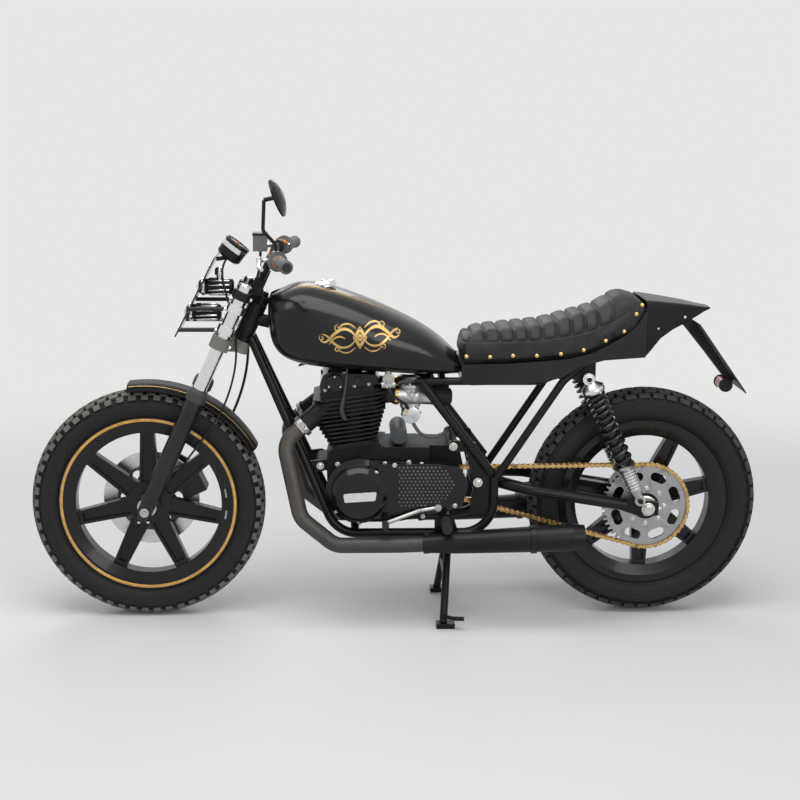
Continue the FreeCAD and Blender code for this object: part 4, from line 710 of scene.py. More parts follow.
for side, out in both_sides:
    head, foot = point(-524, side * 130, 716), point(-681.5, side * 130, 366.7)
    way, length = (foot - head).normalized(), (foot - head).length
    coil = []
    for k in range(coil_steps + 1):
        share = k / coil_steps
        along = coil_from + coil_length * (share - wound_closer * math.sin(share * math.pi))
        coil.append(head + way * along + ray_round(way, share * coil_turns * math.tau) * coil_radius)
    springs.tube(coil, 4.5)
    caps.turned([(26, 24), (28, 33), (31, 34.5), (36, 34.5), (38, 33), (41.8, 31)], head, way, 48)
    caps.turned([(0, 16.5), (1.5, 17)], head + out * 11.2, out, 32)
    caps.bolt(head + out * 13, out, 8, 6)
    for k in range(7):
        caps.turned([(0, 19.4), (0.8, 21.6), (3.0, 21.6), (3.8, 19.4)], head + way * (length - 96 + 9 * k),
                    way, 40, loop=True)
springs.make("shock_coils", spring_black, "shock_springs", replaced=("shock_springs",))
caps.make("shock_flanges", plated, "shock_bodies")

# Engine: air-cooled twin. Cases, barrels and head are cast alloy in black engine paint, with
# bright cap screws round every cover.


def cast_paint(name, colour, roughness, grit=260.0, bare=(0.085, 0.083, 0.08), rub=0.55):
    """Engine paint over sand casting: coarse grain, baked dust and bare edges."""
    material, place, shader = new_finish(name)
    grain, soot, eased = place.noise(grit, 4.0), place.noise(16.0, 4.0), place.eased(1.1)
    edge = eased.edges().rise(0.02, 0.22) * rub
    tone = soot.rise(0.35, 0.7).shade(colour, [1.7 * c + 0.004 for c in colour])
    fill(shader, {"Base Color": (edge * grain.rise(0.3, 0.6)).shade(tone, bare), "Specular IOR Level": 0.16,
                  "Roughness": soot * 0.2 + (roughness - 0.08), "Normal": grain.bump(0.35, 0.0005, eased)})
    return material


cover_black = sprayed("cover_black", (0.005, 0.005, 0.006), 0.15, coat=0.3, skin=300.0,
                      rubbed=(0.16, 0.16, 0.155), wear=0.7, edge=1.2)
dress(cast_paint("fin_black", (0.009, 0.009, 0.010), 0.44, grit=200.0, bare=(0.15, 0.14, 0.125), rub=0.85),
      "cylinders", "cylinder_head")
dress(cast_paint("case_black", (0.005, 0.005, 0.006), 0.52), "crankcase")
dress(cover_black, "left_engine_cover", "right_engine_cover", "cam_cover")
dress(cast_paint("starter_grey", (0.060, 0.068, 0.074), 0.42), "starter_motor")

alternator = point(107.96, 0, 387)
screws = Piece()
for size, spots in ((4.6, ((169, 84.4, 462), (190.6, 84.4, 380), (174, 84.4, 322), (108, 84.4, 291),
                           (36, 112, 322), (37, 112, 470), (-30, 112, 474), (-66, 112, 468), (-66, 112, 330),
                           (0, 112, 322))),
                    (4.4, ((62, 128, 448), (68, 128, 330), (-160, 128, 352), (-70, 128, 321),
                           (10, 128, 470)))):
    for spot in spots:
        screws.bolt(point(*spot), left, size, size, socket=True)
for centre, face, way, radius, angles, size, height in (
        (alternator, 98.3, left, 87, (150, 232, 272, 318), 4.4, 4.4),
        (point(-16.04, 0, 393), -113.5, -left, 87, range(0, 360, 40), 4.4, 4.4),
        (alternator, -111.5, -left, 55, range(20, 380, 60), 4.2, 4.0)):
    for angle in angles:
        screws.bolt(spun(centre, angle, radius, face), way, size, height, socket=True)
screws.make("cover_screws", zinc, "left_engine_cover")

tilt, deck = math.radians(8.0), point(117.96, 0, 515)


def on_barrels(x, y, z):
    """Point given in the tilted barrels' own axes."""
    return deck + point(math.cos(tilt) * x + math.sin(tilt) * z, y, math.cos(tilt) * z - math.sin(tilt) * x)


up_barrels = on_barrels(0, 0, 1) - deck
head_gear, end_caps = Piece(), Piece()
for side, out in both_sides:
    cap = on_barrels(32, side * 104, 190)
    end_caps.turned([(-0.5, 24), (3, 24), (4.5, 22.5), (4.5, 15), (3, 14), (3, 0)], cap, out, 40)
    for k in range(3):
        head_gear.bolt(spun(cap, 90 + 120 * k, 18.5, side * 4), out, 3.2, 2.6, False)
    end_caps.turned([(0, 12), (4, 12), (5, 11), (5, 6), (3.6, 5)], on_barrels(-34, side * 104, 186), out, 6)
    for x, z in ((58, 201), (4, 209), (-52, 209)):
        head_gear.bolt(on_barrels(x, side * 84, z), up_barrels, 5.4, 5.0)
    for k in range(4):
        head_gear.turned([(0, 6.5), (7, 6.5), (8, 5.6)], on_barrels(62 - 41 * k, side * 92, 168.3),
                         up_barrels, 6)
    for x, z in ((48, 219), (-60, 201)):
        head_gear.bolt(on_barrels(x, side * 30, z), up_barrels, 5, 4.5)
head_gear.make("head_nuts", zinc, "cylinder_head")
end_caps.make("camshaft_end_caps", cover_black, "cam_cover")

# Cover trim: a raised border with a blank bright badge plate on the alternator cover, and a
# field of small pressed dots on the sprocket cover.


def pill(half_long, half_tall, y):
    """Outline of a plate with softened ends, rising slightly toward the back."""
    outline = []
    for x, z, start in ((1, -1, 270), (1, 1, 0), (-1, 1, 90), (-1, -1, 180)):
        for k in range(6):
            angle = math.radians(start + 18 * k)
            across = x * (half_long - 5 - (2.5 if z < 0 else 0)) + 5 * math.cos(angle)
            rise = z * (half_tall - 5) + 5 * math.sin(angle)
            outline.append(point(106.8 + across, y, 384.0 + rise - 0.06 * across))
    return outline


Piece().slab(pill(46.0, 12.6, 150.0), left * 2.6).make(
    "blank_badge", bare_metal("badge_alloy", (0.78, 0.78, 0.77), 0.25, grime=0.12), "left_engine_cover")
Piece().slab(pill(48.6, 15.2, 149.6), left * 1.8).make("badge_surround", cover_black, "left_engine_cover")
dots, clear_of_cover = Piece(), 103
for row in range(12):
    z = 462 - 10.0 * row
    for column in range(14):
        x = -4 - 11.2 * column - (5.6 if row % 2 else 0)
        rounded = x > -60 or ((x + 60) / 98) ** 2 + ((z - 412) / 62) ** 2 < 1
        if rounded and (x - alternator.x) ** 2 + (z - alternator.z) ** 2 > clear_of_cover ** 2:
            dots.turned([(-0.4, 3.9), (0.4, 3.9), (1.8, 3.0), (2.7, 1.7), (3.0, 0.1)],
                        point(x, 128, z), left, 12)
# The dots are painted paler than the cover: a painted sheen that stands in for their glints.
dots.make("cover_dots", sprayed("dot_black_painted_sheen", (0.045, 0.045, 0.047), 0.10, coat=1.0, wear=0.0, edge=0.1),
          "left_engine_cover", crease=70.0)
Piece().turned([(-0.5, 75), (1.2, 75), (2.6, 72), (2.6, 58), (1.2, 56)], alternator + left * 138.3,
               left, 72).make("alternator_rim", cover_black, "left_engine_cover")

# Spark plug leads: black rubber caps on the plugs behind the front tubes, and leads that run
# up to the coils under the tank.
leads = Piece()
for side in (1, -1):
    route = [(142, side * 98, 742), (146, side * 110, 696), (152, side * 117, 658), (157, side * 119, 632),
             (154, side * 118, 610), (146, side * 114, 598)]
    leads.tube(smooth_line(route, 8), 3.7)
    leads.tube(smooth_line(route[2:], 8), [5.0 + 1.6 * math.sin(math.pi * k / 24) for k in range(25)], 12)
leads.make("plug_leads", jacket("lead_rubber", (0.045, 0.045, 0.047), 0.35), "cylinder_head")

# Exhaust: two mild steel pipes in matt heat paint, browned near the ports, held by finned
# alloy collars, and two black silencers clamped to them.
pipe_finish, place, shader = new_finish("heat_paint")
heat = (place.part("X") * 1000.0).rise(190.0, 300.0) * place.noise(14.0, 3.0).rise(0.25, 0.7)
flakes = place.noise(210.0, 4.0)
paint = flakes.rise(0.3, 0.7).shade((0.030, 0.028, 0.026), (0.058, 0.054, 0.049))
fill(shader, {"Base Color": heat.shade(paint, (0.088, 0.079, 0.070)), "Metallic": 0.25 + heat * 0.3,
              "Roughness": flakes * 0.18 + 0.38, "Normal": flakes.bump(0.3, 0.0004)})
dress(pipe_finish, "exhaust_headers")
dress(sprayed("silencer_black", (0.008, 0.008, 0.009), 0.36, skin=420.0, depth=0.35, wear=0.25), "silencers")
collar_alloy = bare_metal("collar_alloy", (0.66, 0.65, 0.63), 0.30, grime=0.35)


def ridged(count, pitch, high, low, *steps):
    """Lathe outline of even ridges: where each starts and ends, and its groove after it."""
    return [(step + pitch * k, radius) for k in range(count)
            for step, radius in zip(steps, (high, high, low, low))]


collars, clamps = Piece(), Piece()
for side, out in both_sides:
    end, root = on_barrels(132, side * 94, 84), on_barrels(60, side * 76, 128)
    way = (end - root).normalized()
    collars.turned([(0.5, 23)] + ridged(4, 3.4, 32, 27.5, 0.8, 2.6, 3.0, 3.9) + [(15.2, 24), (20, 23)],
                   end, way, 40)
    one, two = square_to(way)
    for sign in (1, -1):
        collars.bolt(end + one * (sign * 37) + way * 6, way, 5, 6)
        collars.slab([end + one * (sign * (26 + a)) + two * b + way * 2.5 for a, b in
                      ((0, -11), (14, -6), (17, 0), (14, 6), (0, 11))], way * 4.5)
    mouth, rearward = point(-70, side * 156, 249), point(-1, 0.03 * side, 0.05).normalized()
    clamps.turned([(2, 25.8), (2.4, 27.6), (15, 27.6), (15.4, 25.8)], mouth, rearward, 40, loop=True)
    clamps.bolt(mouth + rearward * 9 + point(0, side * 6, 29), out, 4.5, 8)
    clamps.turned([(0, 38.4), (0.6, 40.0), (16, 40.4), (16.6, 39)], mouth + rearward * 300, rearward, 48,
                  loop=True)
collars.make("port_collars", collar_alloy, "exhaust_headers")
clamps.make("silencer_clamps", satin_black, "silencers")

# Carburettors: bare die-cast bodies with brass jets and screws on the float bowls, rubber
# stubs held by clamps, and small cone filters behind them.
dress(bare_metal("carb_alloy", (0.56, 0.57, 0.58), 0.42, grime=0.5), "carburettors")
dress(sprayed("filter_gauze", (0.018, 0.018, 0.018), 0.6, skin=1500.0, depth=0.9, wear=0.2), "air_filters")
brass = bare_metal("brass", (0.72, 0.50, 0.20), 0.26, grime=0.3, dirt=(0.08, 0.05, 0.02))
carb_trim, jets, stubs, bowl_caps = Piece(), Piece(), Piece(), Piece()
for side, out in both_sides:
    front, rear = point(8, side * 62, 657), point(-92, side * 56, 652)
    middle, along = front + (rear - front) * 0.43, (front - rear).normalized()
    for k in range(4):
        ray = point(math.cos((k + 0.5) * quarter), math.sin((k + 0.5) * quarter), 0)
        carb_trim.bolt(middle + ray * 28.6 + up * 33.6, up, 3.4, 3.0, False)
        carb_trim.turned([(0, 4), (10, 4)], middle + ray * 27 - up * 30.5, up, 10)
    jets.turned([(0, 7.5), (5, 7.5), (6, 6.5)], middle - up * 67.6, -up, 6)
    jets.turned([(0, 3.2), (9, 3.2), (9, 5), (13, 5)], middle + point(12, side * 22, -42), out, 12)
    bowl_cap = point(-36.5, side * 72, 603.5)
    bowl_caps.turned([(0, 24), (11, 25), (13.5, 24), (14.5, 21), (14.5, 0.5)], bowl_cap, out, 40)
    bowl_caps.tube(smooth_line([bowl_cap + point(x, side * y, z) for x, y, z in (
        (28, 4, 2), (24, 15, 0), (0, 16.6, -3), (-24, 15, 5), (-28, 4, 8))], 6), 1.6, 8)
    carb_trim.turned([(-8, 8), (7, 8), (9, 6.5), (9, 3)], middle + point(-4, side * 22, 8), out, 20)
    carb_trim.tube([middle + point(x, side * y, z) for x, y, z in (
        (-4, 30, 8), (-4, 33, 26), (4, 33, 40))], 2.2, 8)
    stub = on_barrels(-108, side * 62, 131)
    stub_way = (front - stub).normalized()
    stubs.turned([(-1, 25.4), (6, 26), (8, 24), (16, 24), (18, 26), (30, 26), (31, 24.4)], stub, stub_way, 32)
    for spot in (stub + stub_way * 24, front - along * 6):
        jets.turned([(-4, 26.2), (-4, 27.4), (4, 27.4), (4, 26.2)], spot, along, 36, loop=True)
        carb_trim.bolt(spot + point(0, side * 26, 6), up, 3.4, 8, False)
    for k in range(14):
        ray = ray_round(-along, k * math.tau / 14)
        stubs.tube([rear - along * 9 + ray * 25.0, rear - along * 56 + ray * 23.0], 1.3, 6)
carb_trim.make("carb_fittings", collar_alloy, "carburettors")
bowl_caps.make("bowl_caps", bare_metal("bowl_alloy", (0.62, 0.64, 0.66), 0.34, grime=0.2), "carburettors")
jets.make("carb_brass", brass, "carburettors")
stubs.make("carb_rubbers", jacket("stub_rubber", (0.014, 0.014, 0.014), 0.5), "carburettors")
fuel_line = smooth_line([(28, 124, 690), (20, 128, 672), (0, 118, 655), (-18, 100, 640), (-28, 86, 622)], 8)
Piece().tube(fuel_line, 4.2, 12).make("fuel_line", cord_black, "fuel_tap")
hose_grey = jacket("hose_grey", (0.085, 0.09, 0.095), 0.4)
drain = smooth_line([(-42, 76, 584), (-48, 80, 570), (-66, 86, 549), (-98, 86, 541), (-127, 80, 549),
                     (-143, 72, 559), (-150, 56, 548), (-150, 48, 528)], 8)
Piece().tube(drain, 5.0, 14).make("breather_hose", hose_grey, "carburettors")
tap_alloy = bare_metal("tap_alloy", (0.52, 0.52, 0.50), 0.30, grime=0.4)
dress(tap_alloy, "fuel_tap")
tap_dial = Piece()
tap_dial.turned([(0, 16), (7, 17), (9, 16), (9.6, 12), (8.4, 11), (8.4, 0.5)], point(28, 103, 711), left, 36)
tap_dial.tube([point(28, 113, 711), point(28, 115, 700), point(27, 114, 682)], [4.6, 4.2, 3.4], 12)
tap_dial.make("tap_lever", tap_alloy, "fuel_tap")
box_corners = [point(44 + x, 66 + y, 519) for x, y in ((-8.5, -12), (8.5, -12), (8.5, 12), (-8.5, 12))]
Piece().slab(box_corners, up * 30).make("wiring_box", hose_grey, "crankcase")

# Fuel tank: pressed steel in deep gloss black, with a painted gold ornament on each side and
# fine gold lines along its crown. The ornament is a plain scroll of this model's own.
dress(sprayed("tank_gloss", (0.0035, 0.0035, 0.004), 0.30, coat=0.35, skin=120.0, depth=0.04, wear=0.0),
      "fuel_tank")
dress(plated, "fuel_cap")


def skin_of(mesh):
    """A mesh as a surface that rays can meet."""
    return BVHTree.FromPolygons([vertex.co.copy() for vertex in mesh.vertices],
                                [list(face.vertices) for face in mesh.polygons])


def lay_on(skin, start, way, lift=0.35):
    """Where a line from a point meets a surface, lifted a little off it."""
    spot, normal, _, _ = skin.ray_cast(Vector(start) * mm, Vector(way))
    if spot is not None:
        return spot / mm + (normal if normal.dot(Vector(way)) < 0 else -normal) * lift


tank_skin = skin_of(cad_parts["fuel_tank"].data)


def ribbon(piece, line, widths, side):
    """Painted stroke on the tank's side: a line of (x, z) points and its width along it."""
    rails = [], []
    for i, spot in enumerate(line):
        way = (line[min(i + 1, len(line) - 1)] - line[max(i - 1, 0)]).normalized()
        square = Vector((-way.y, way.x, 0.0)) * (widths[i] / 2)
        for edge, rail in zip((spot + square, spot - square), rails):
            rail.append(lay_on(tank_skin, (edge.x, side * 260, edge.y), (0, -side, 0)))
    piece.strip(*rails)


def stroke(handles, thick, steps=10):
    """A brush stroke: thin at both ends, full in the middle."""
    line = smooth_line(handles, steps)
    last = len(line) - 1
    return line, [thick * (0.22 + 0.78 * math.sin(math.pi * i / last) ** 0.8) for i in range(last + 1)]


def curl(x, z, radius, start, turns):
    """Handles of a scroll that winds outward from its eye."""
    handles = []
    for share in (k / 36 for k in range(37)):
        turn, reach = start + turns * math.tau * share, radius * (0.22 + 0.78 * share)
        handles.append((x + math.cos(turn) * reach, z + math.sin(turn) * reach))
    return handles


ornament = Piece()
middle_x, middle_z = 107.0, 833.0
for side in (1, -1):
    for sign in (1, -1):
        def at(x, z):
            """Point of the ornament, mirrored fore and aft about its middle."""
            return middle_x + sign * x, middle_z + z - 0.06 * sign * x

        for thick, *handles in (
                (8.5, (8, 0), (26, 20), (48, 26), (70, 14), (92, -6), (108, -2)),
                (6.5, (8, 0), (26, -20), (50, -24), (72, -10), (90, 10), (104, 16)),
                (5.0, (40, 0), (54, 6), (70, 2), (84, -14)),
                (4.5, (12, 26), (28, 38), (46, 38), (58, 28)),
                (4.0, (12, -26), (28, -38), (46, -38), (60, -28))):
            ribbon(ornament, *stroke([at(*spot) for spot in handles], thick), side)
        for x, z, radius, turn in ((60, 29, 10, 1.2), (62, -27, 9, -1.2), (104, 6, 8, 1.1)):
            handles = curl(*at(x, z), radius, 0.6 if turn > 0 else 3.4, turn * sign)
            ribbon(ornament, *stroke(handles, 3.2, 2), side)
    for reach, thick in ((30.0, 2.2), (22.0, 5.0), (9.0, 6.0)):
        diamond = [Vector((middle_x + reach * x, middle_z + reach * z, 0))
                   for x, z in ((0, 1), (0.62, 0), (0, -1), (-0.62, 0), (0, 1))]
        for a, b in zip(diamond, diamond[1:]):
            ribbon(ornament, [a.lerp(b, k / 8) for k in range(9)], [thick] * 9, side)
ornament.make("tank_ornament", gold_leaf("gold_leaf", (0.66, 0.43, 0.15), 0.30), "fuel_tank")


def held(value, low=0.0, high=1.0):
    """Value kept between two limits."""
    return max(low, min(high, value))


crown_lines = Piece()
for side in (1, -1):
    for offset, width in ((44.0, 3.4), (52.0, 1.4), (36.0, 1.4)):
        rails = [], []
        for x in (296 - 6.6 * k for k in range(49)):
            taper = held(min((x + 20) / 120, (296 - x) / 40 + 0.2), 0.15)
            for shift, rail in zip((width / 2, -width / 2), rails):
                y = side * (offset + shift * taper + 14 * math.sin((x - 20) / 88.0))
                rail.append(lay_on(tank_skin, (x, y, 1100), (0, 0, -1)))
        crown_lines.strip(*rails)
crown_lines.make("tank_crown_lines", gold_line, "fuel_tank")
filler = Piece()
filler.turned([(0, 39), (1.4, 39), (2.2, 38), (2.2, 34.5)], point(205, 0, 955.5), point(0.2, 0, 1), 64)
filler.turned([(17, 6), (19.4, 6), (20, 5), (20, 1)], point(205, 0, 954), point(0.2, 0, 1))
filler.make("filler_ring", plated, "fuel_cap")

# Saddle: foam under charcoal leather, sewn in cross channels over the seat, plain over the
# hump, with a skirt held to the base by ten brass studs a side.

# Along the machine: the pad's floor, its top and half its width; the height of the seam that
# joins pad and skirt; and where the channels are sewn.
seat_rows = ((-174, 751, 814, 92), (-190, 752, 832, 104), (-280, 753, 842, 112), (-356, 757, 850, 114),
             (-408, 761, 857, 114), (-476, 768, 876, 114), (-532, 782, 892, 114), (-575, 803, 910, 113),
             (-603, 819, 932, 112), (-630, 836, 944, 111), (-658, 861, 938, 109), (-684, 905, 928, 106))
pad_edge = ((-174, 812), (-283, 815), (-395, 819), (-474, 831), (-530, 845), (-597, 873), (-640, 905),
            (-690, 925))
channels = (-200, -240, -280, -320, -358, -398, -438, -478, -516, -553)


def between(table, x, column=1):
    """Value at a place along the machine, read between a table's rows."""
    for a, b in zip(table, table[1:]):
        if b[0] <= x <= a[0]:
            return a[column] + (b[column] - a[column]) * (x - a[0]) / (b[0] - a[0])
    return table[0][column] if x > table[0][0] else table[-1][column]


def saddle_ring(x, bottom, top, half):
    """Upright section of the pad: flat floor, sides that lean in, and a low crown."""
    ring, tall = [], (top - bottom) / 2
    for k in range(28):
        c, s = math.cos(math.tau * k / 28), math.sin(math.tau * k / 28)
        wide, high = (0.42, 0.62) if s > 0 else (0.18, 0.25)
        z = bottom + tall + (tall - 0.6) * math.copysign(abs(s) ** high, s)
        ring.append(point(x, (half - 1.2) * math.copysign(abs(c) ** wide, c), z if s < 0 else z - 1.6))
    return ring


columns = [smooth_line([(row[0], row[i]) for row in seat_rows], 4) for i in (1, 2, 3)]
first, *middle, last = [(a.x, a.y, b.y, c.y) for a, b, c in zip(*columns)]
rows = [(first[0], first[1] + 9, first[2] - 9, first[3] - 9), *((x - 1.0, *rest) for x, *rest in middle),
        (last[0] + 1.2, last[1] + 4, last[2] - 6, last[3] - 5)]
leather, place, shader = new_finish("saddle_leather")
grain = place.node("ShaderNodeTexVoronoi", {"feature": "DISTANCE_TO_EDGE"}, {"Vector": place, "Scale": 620.0},
                   "Distance")
creases = place.noise(34.0, 5.0)
worn = place.node("ShaderNodeAttribute", {"attribute_name": "mark"}, (), "Fac")
tone = creases.rise(0.3, 0.7).shade((0.011, 0.011, 0.012), (0.021, 0.0205, 0.0205))
fill(shader, {"Base Color": (worn * 0.6).shade(tone, (0.040, 0.039, 0.038)), "Specular IOR Level": 0.3,
              "Roughness": 0.42 + creases * 0.16 - worn * 0.06,
              "Normal": (grain.rise(0.0, 0.22) * 0.5 + creases * 0.8).bump(0.4, 0.0009)})
saddle = Piece().rows([saddle_ring(*row) for row in rows]).make(
    "saddle_pad", leather, "seat", replaced=("seat",), crease=60.0)


def settle(piece):
    """Fill the pad with air as a cloth bag, and hold how far each point may move."""
    rest = [vertex.co.copy() for vertex in piece.data.vertices]
    frames, furthest = 20, 7.0 * mm
    cloth = piece.modifiers.new("Cloth", "CLOTH")
    cloth.settings.quality = 5
    cloth.settings.use_pressure = True
    cloth.settings.uniform_pressure_force = 4.0
    cloth.settings.effector_weights.gravity = 0.0
    cloth.point_cache.frame_start, cloth.point_cache.frame_end = 1, frames
    for number in range(1, frames + 1):
        bpy.context.scene.frame_set(number)
    blown = piece.evaluated_get(bpy.context.evaluated_depsgraph_get()).data
    moved = [vertex.co.copy() for vertex in blown.vertices]
    piece.modifiers.remove(cloth)
    bpy.context.scene.frame_set(1)
    for vertex, start, end in zip(piece.data.vertices, rest, moved):
        shift = end - start
        vertex.co = start + shift * min(1.0, furthest / max(shift.length, 1e-9))


def reshape(piece, kind, **settings):
    """Work one modifier into a piece's mesh."""
    change = piece.modifiers.new(kind, kind)
    for name, setting in settings.items():
        setattr(change, name, setting)
    piece.data = bpy.data.meshes.new_from_object(piece.evaluated_get(bpy.context.evaluated_depsgraph_get()))
    piece.modifiers.clear()


bpy.context.view_layer.update()
reshape(saddle, "REMESH", mode="VOXEL", voxel_size=0.0055)
reshape(saddle, "SMOOTH", factor=0.6, iterations=3)
settle(saddle)
reshape(saddle, "SUBSURF", levels=1, render_levels=1)
bpy.context.view_layer.update()
hump_fold, rib_half, rib_high = -592, 19.0, 2.2


def groove(away, width, depth):
    """Soft groove: full depth on its line, nothing a few widths away."""
    return math.exp(-(away / width) ** 2) * depth


rubs = []
for vertex, normal in zip(saddle.data.vertices, [vertex.normal.copy() for vertex in saddle.data.vertices]):
    x, y, z = vertex.co / mm
    floor_z, roof_z, edge_z = between(seat_rows, x), between(seat_rows, x, 2), between(pad_edge, x)
    sewn = held((z - edge_z - 1) / 5.0) * held((x - hump_fold) / 10.0)
    nearest = min(abs(x - channel) for channel in channels)
    valley = groove(nearest, 4.2, 6.0) * sewn
    crest = min(nearest, rib_half) / rib_half * rib_high * sewn
    seam = groove(z - edge_z, 2.2, 2.0) if abs(y) > 60 and x > -640 else 0.0
    fold = groove(x - hump_fold, 4.0, 3.0) if z > edge_z else 0.0
    spot = vertex.co / mm + normal * (crest - valley - seam - fold)
    if x > -668:
        spot.z = max(spot.z, floor_z + 0.5)
    spot = point(held(spot.x, -683.8, -172.0), held(spot.y, -116.0, 116.0), min(spot.z, roof_z + 6.0))
    vertex.co = spot * mm
    rubs.append(held(crest / rib_high) * (0.6 if normal.z > 0.3 else 0.25))
saddle.data.attributes.new("mark", "FLOAT", "POINT").data.foreach_set("value", rubs)
saddle.data.materials.clear()
saddle.data.materials.append(leather)
saddle.data.shade_smooth()

saddle_skin = skin_of(saddle.data)
studs, thread, piping = Piece(), Piece(), Piece()
for side, out in both_sides:
    for x, z in ((-188.6, 771.5), (-253.5, 771.5), (-317, 775), (-383, 775), (-450, 780), (-513, 791),
                 (-573, 817.6), (-624, 843), (-656, 892), (-672.5, 915)):
        spot = lay_on(saddle_skin, (x, side * 200, max(z, between(seat_rows, x) + 9)), -out, 0.0)
        if spot is not None:
            studs.turned([(-1.5, 6.4), (0.2, 6.4), (1.4, 5.8), (2.6, 4.0), (3.1, 1.6), (3.2, 0.2)],
                         spot, out, 22)
    for k in range(64):
        stitch = [lay_on(saddle_skin, (x, side * 200, between(pad_edge, x) - 5.0), -out, 0.3)
                  for x in (-182 - 6.4 * k, -185.8 - 6.4 * k)]
        if None not in stitch:
            thread.tube(stitch, 0.7, 6)
    hem = [lay_on(saddle_skin, (x, side * 200, between(seat_rows, x) + 3.4), -out, -0.6)
           for x in (-178 - 5.4 * k for k in range(90))]
    piping.tube([spot for spot in hem if spot is not None], 2.2, 8)
studs.make("brass_studs", brass, "seat")
thread.make("saddle_stitches", jacket("waxed_thread", (0.06, 0.058, 0.055), 0.6), "seat")
piping.make("saddle_piping", leather, "seat")
dress(sprayed("seat_base_black", (0.010, 0.010, 0.011), 0.30, coat=0.2, skin=260.0), "seat_base")

# Tail: pressed cowl in the tank's gloss black, and a bent arm with a blank plate, small lamp
# and its fixing screws.
dress(sprayed("cowl_black", (0.0045, 0.0045, 0.005), 0.33, coat=0.06, skin=160.0, depth=0.05, wear=0.1),
      "tail_cowl")
dress(sprayed("arm_black", (0.020, 0.021, 0.024), 0.46, skin=500.0, depth=0.12), "number_plate")
plate_white, place, shader = new_finish("blank_plate")
grime = place.noise(26.0, 4.0)
fill(shader, {"Base Color": grime.rise(0.35, 0.8).shade((0.70, 0.69, 0.64), (0.62, 0.60, 0.54)),
              "Roughness": grime * 0.15 + 0.3, "Normal": place.noise(2200.0, 1.0).bump(0.15, 0.0002)})
plate_top = point(-838, 0, 857)
plate_down = (point(-962, 0, 686) - plate_top).normalized()
plate_out = point(plate_down.z, 0, -plate_down.x)
outline = []
for across, down, start in ((80, 10, 270), (80, 226, 0), (-80, 226, 90), (-80, 10, 180)):
    for angle in (math.radians(start + 15 * k) for k in range(7)):
        outline.append(plate_top + plate_down * (down + 8 * math.sin(angle))
                       + left * (across + 8 * math.cos(angle)) + plate_out * 3.05)
Piece().slab(outline, plate_out).make("blank_number_plate", plate_white, "number_plate")
plate_bolts, hood = Piece(), Piece()
for y, down in ((-40, 40), (40, 40), (-40, 196), (40, 196)):
    plate_bolts.bolt(plate_top + plate_down * down + left * y + plate_out * 4, plate_out, 3.4, 2.4)
for x, z, y in ((-720, 850, 97), (-800, 878, 69)):
    for side in (1, -1):
        plate_bolts.turned([(-2, 4.4), (0.8, 4.2), (1.4, 3)], point(x, side * y, z),
                           point(-0.25, side, 0), 14)
plate_bolts.make("tail_screws", zinc, "number_plate")
red_lens, place, shader = new_finish("red_lens")
facets = place.node("ShaderNodeTexVoronoi", (), {"Vector": place, "Scale": 260.0}, "Distance")
fill(shader, {"Base Color": facets.shade((0.22, 0.008, 0.008), (0.42, 0.02, 0.015)), "Coat Weight": 0.2,
              "Roughness": facets * 0.1 + 0.08, "Normal": facets.bump(0.4, 0.001)})
dress(red_lens, "tail_lamp")
for sign in (-1, 1):
    hood.turned([(sign * along, radius) for along, radius in (
        (31.5, 14), (31.5, 19.6), (26, 19.9), (25, 18.2))], point(-936, 0, 676), left, 36)
hood.make("lamp_hood", satin_black, "tail_lamp")

# Foot controls: forged levers with a dull plating, ribbed rubber on the pegs and the toe,
# and the pivot bolts of the centre stand.
dress(bare_metal("lever_plating", (0.50, 0.49, 0.47), 0.34, grime=0.5), "gear_lever", "brake_pedal")
dress(satin_black, "footpegs")
peg_rubber, stand_trim = Piece(), Piece()
for side, out in both_sides:
    peg_rubber.turned([(0, 12.2), (0.5, 14)] + ridged(15, 5.4, 14.6, 13.0, 2, 4.4, 5.0, 6.8)
                      + [(84, 14.2), (87.4, 13.6), (88, 10)], point(-134, side * 128, 308), out)
    stand_trim.bolt(point(-150.04, side * 56.5, 222), out, 6, 4)
peg_rubber.turned([(0, 8.2)] + ridged(7, 5, 9.8, 8.8, 1, 3.6, 4.1, 5.6) + [(37, 9.4), (38, 7)],
                  point(36, 151, 308), left, 20)
peg_rubber.make("peg_rubbers", jacket("peg_rubber", (0.017, 0.017, 0.017), 0.62), "footpegs")
stand_trim.make("stand_fittings", zinc, "centre_stand", "centre_stand")

# Fork: hard chrome tubes in black cast sliders, with dark dust covers at their tops, and
# bright nuts at the axle, the yokes and the tubes' ends.
dress(plated, "fork_tubes")
dress(sprayed("slider_black", (0.011, 0.011, 0.012), 0.26, coat=0.4, skin=380.0, depth=0.3), "fork_sliders")
fork_aside = 92


def on_fork(height, side):
    """Point on a fork leg's line, above the axle."""
    return front_axle + steer_up * height + left * (side * fork_aside)


fork_trim, seals, axle_nuts, yoke_nuts = Piece(), Piece(), Piece(), Piece()
for side, out in both_sides:
    seals.turned([(346, 26.8), (347, 28.8), (362, 29.2), (371, 28.8), (378, 27), (383, 21.5), (384, 19.4)],
                 on_fork(0, side), steer_up, 40)
    for along in (-13, 13):
        fork_trim.bolt(on_fork(-14, side) + point(along, side * 8, -16), -up, 4.4, 6, False)
    axle_nuts.turned([(-4, 13), (3, 13), (4, 11.6), (4, 6), (2.6, 5)], front_axle + out * 118, out)
    fork_trim.turned([(697, 17.5), (700, 17.5), (702, 15.5), (702, 8), (700.5, 7)],
                     on_fork(0, side), steer_up, 32)
    for height in (525, 670):
        yoke_nuts.bolt(on_fork(height, side) + steer_back * 26 + out * 6, steer_back, 5, 5)
axle_nuts.make("front_axle_nuts", shock_alloy, "front_axle", "steering")
fork_trim.make("fork_bolts", plated, "fork_sliders", "steering")
seals.make("fork_seals", jacket("seal_cover", (0.055, 0.055, 0.057), 0.34), "fork_sliders", "steering")
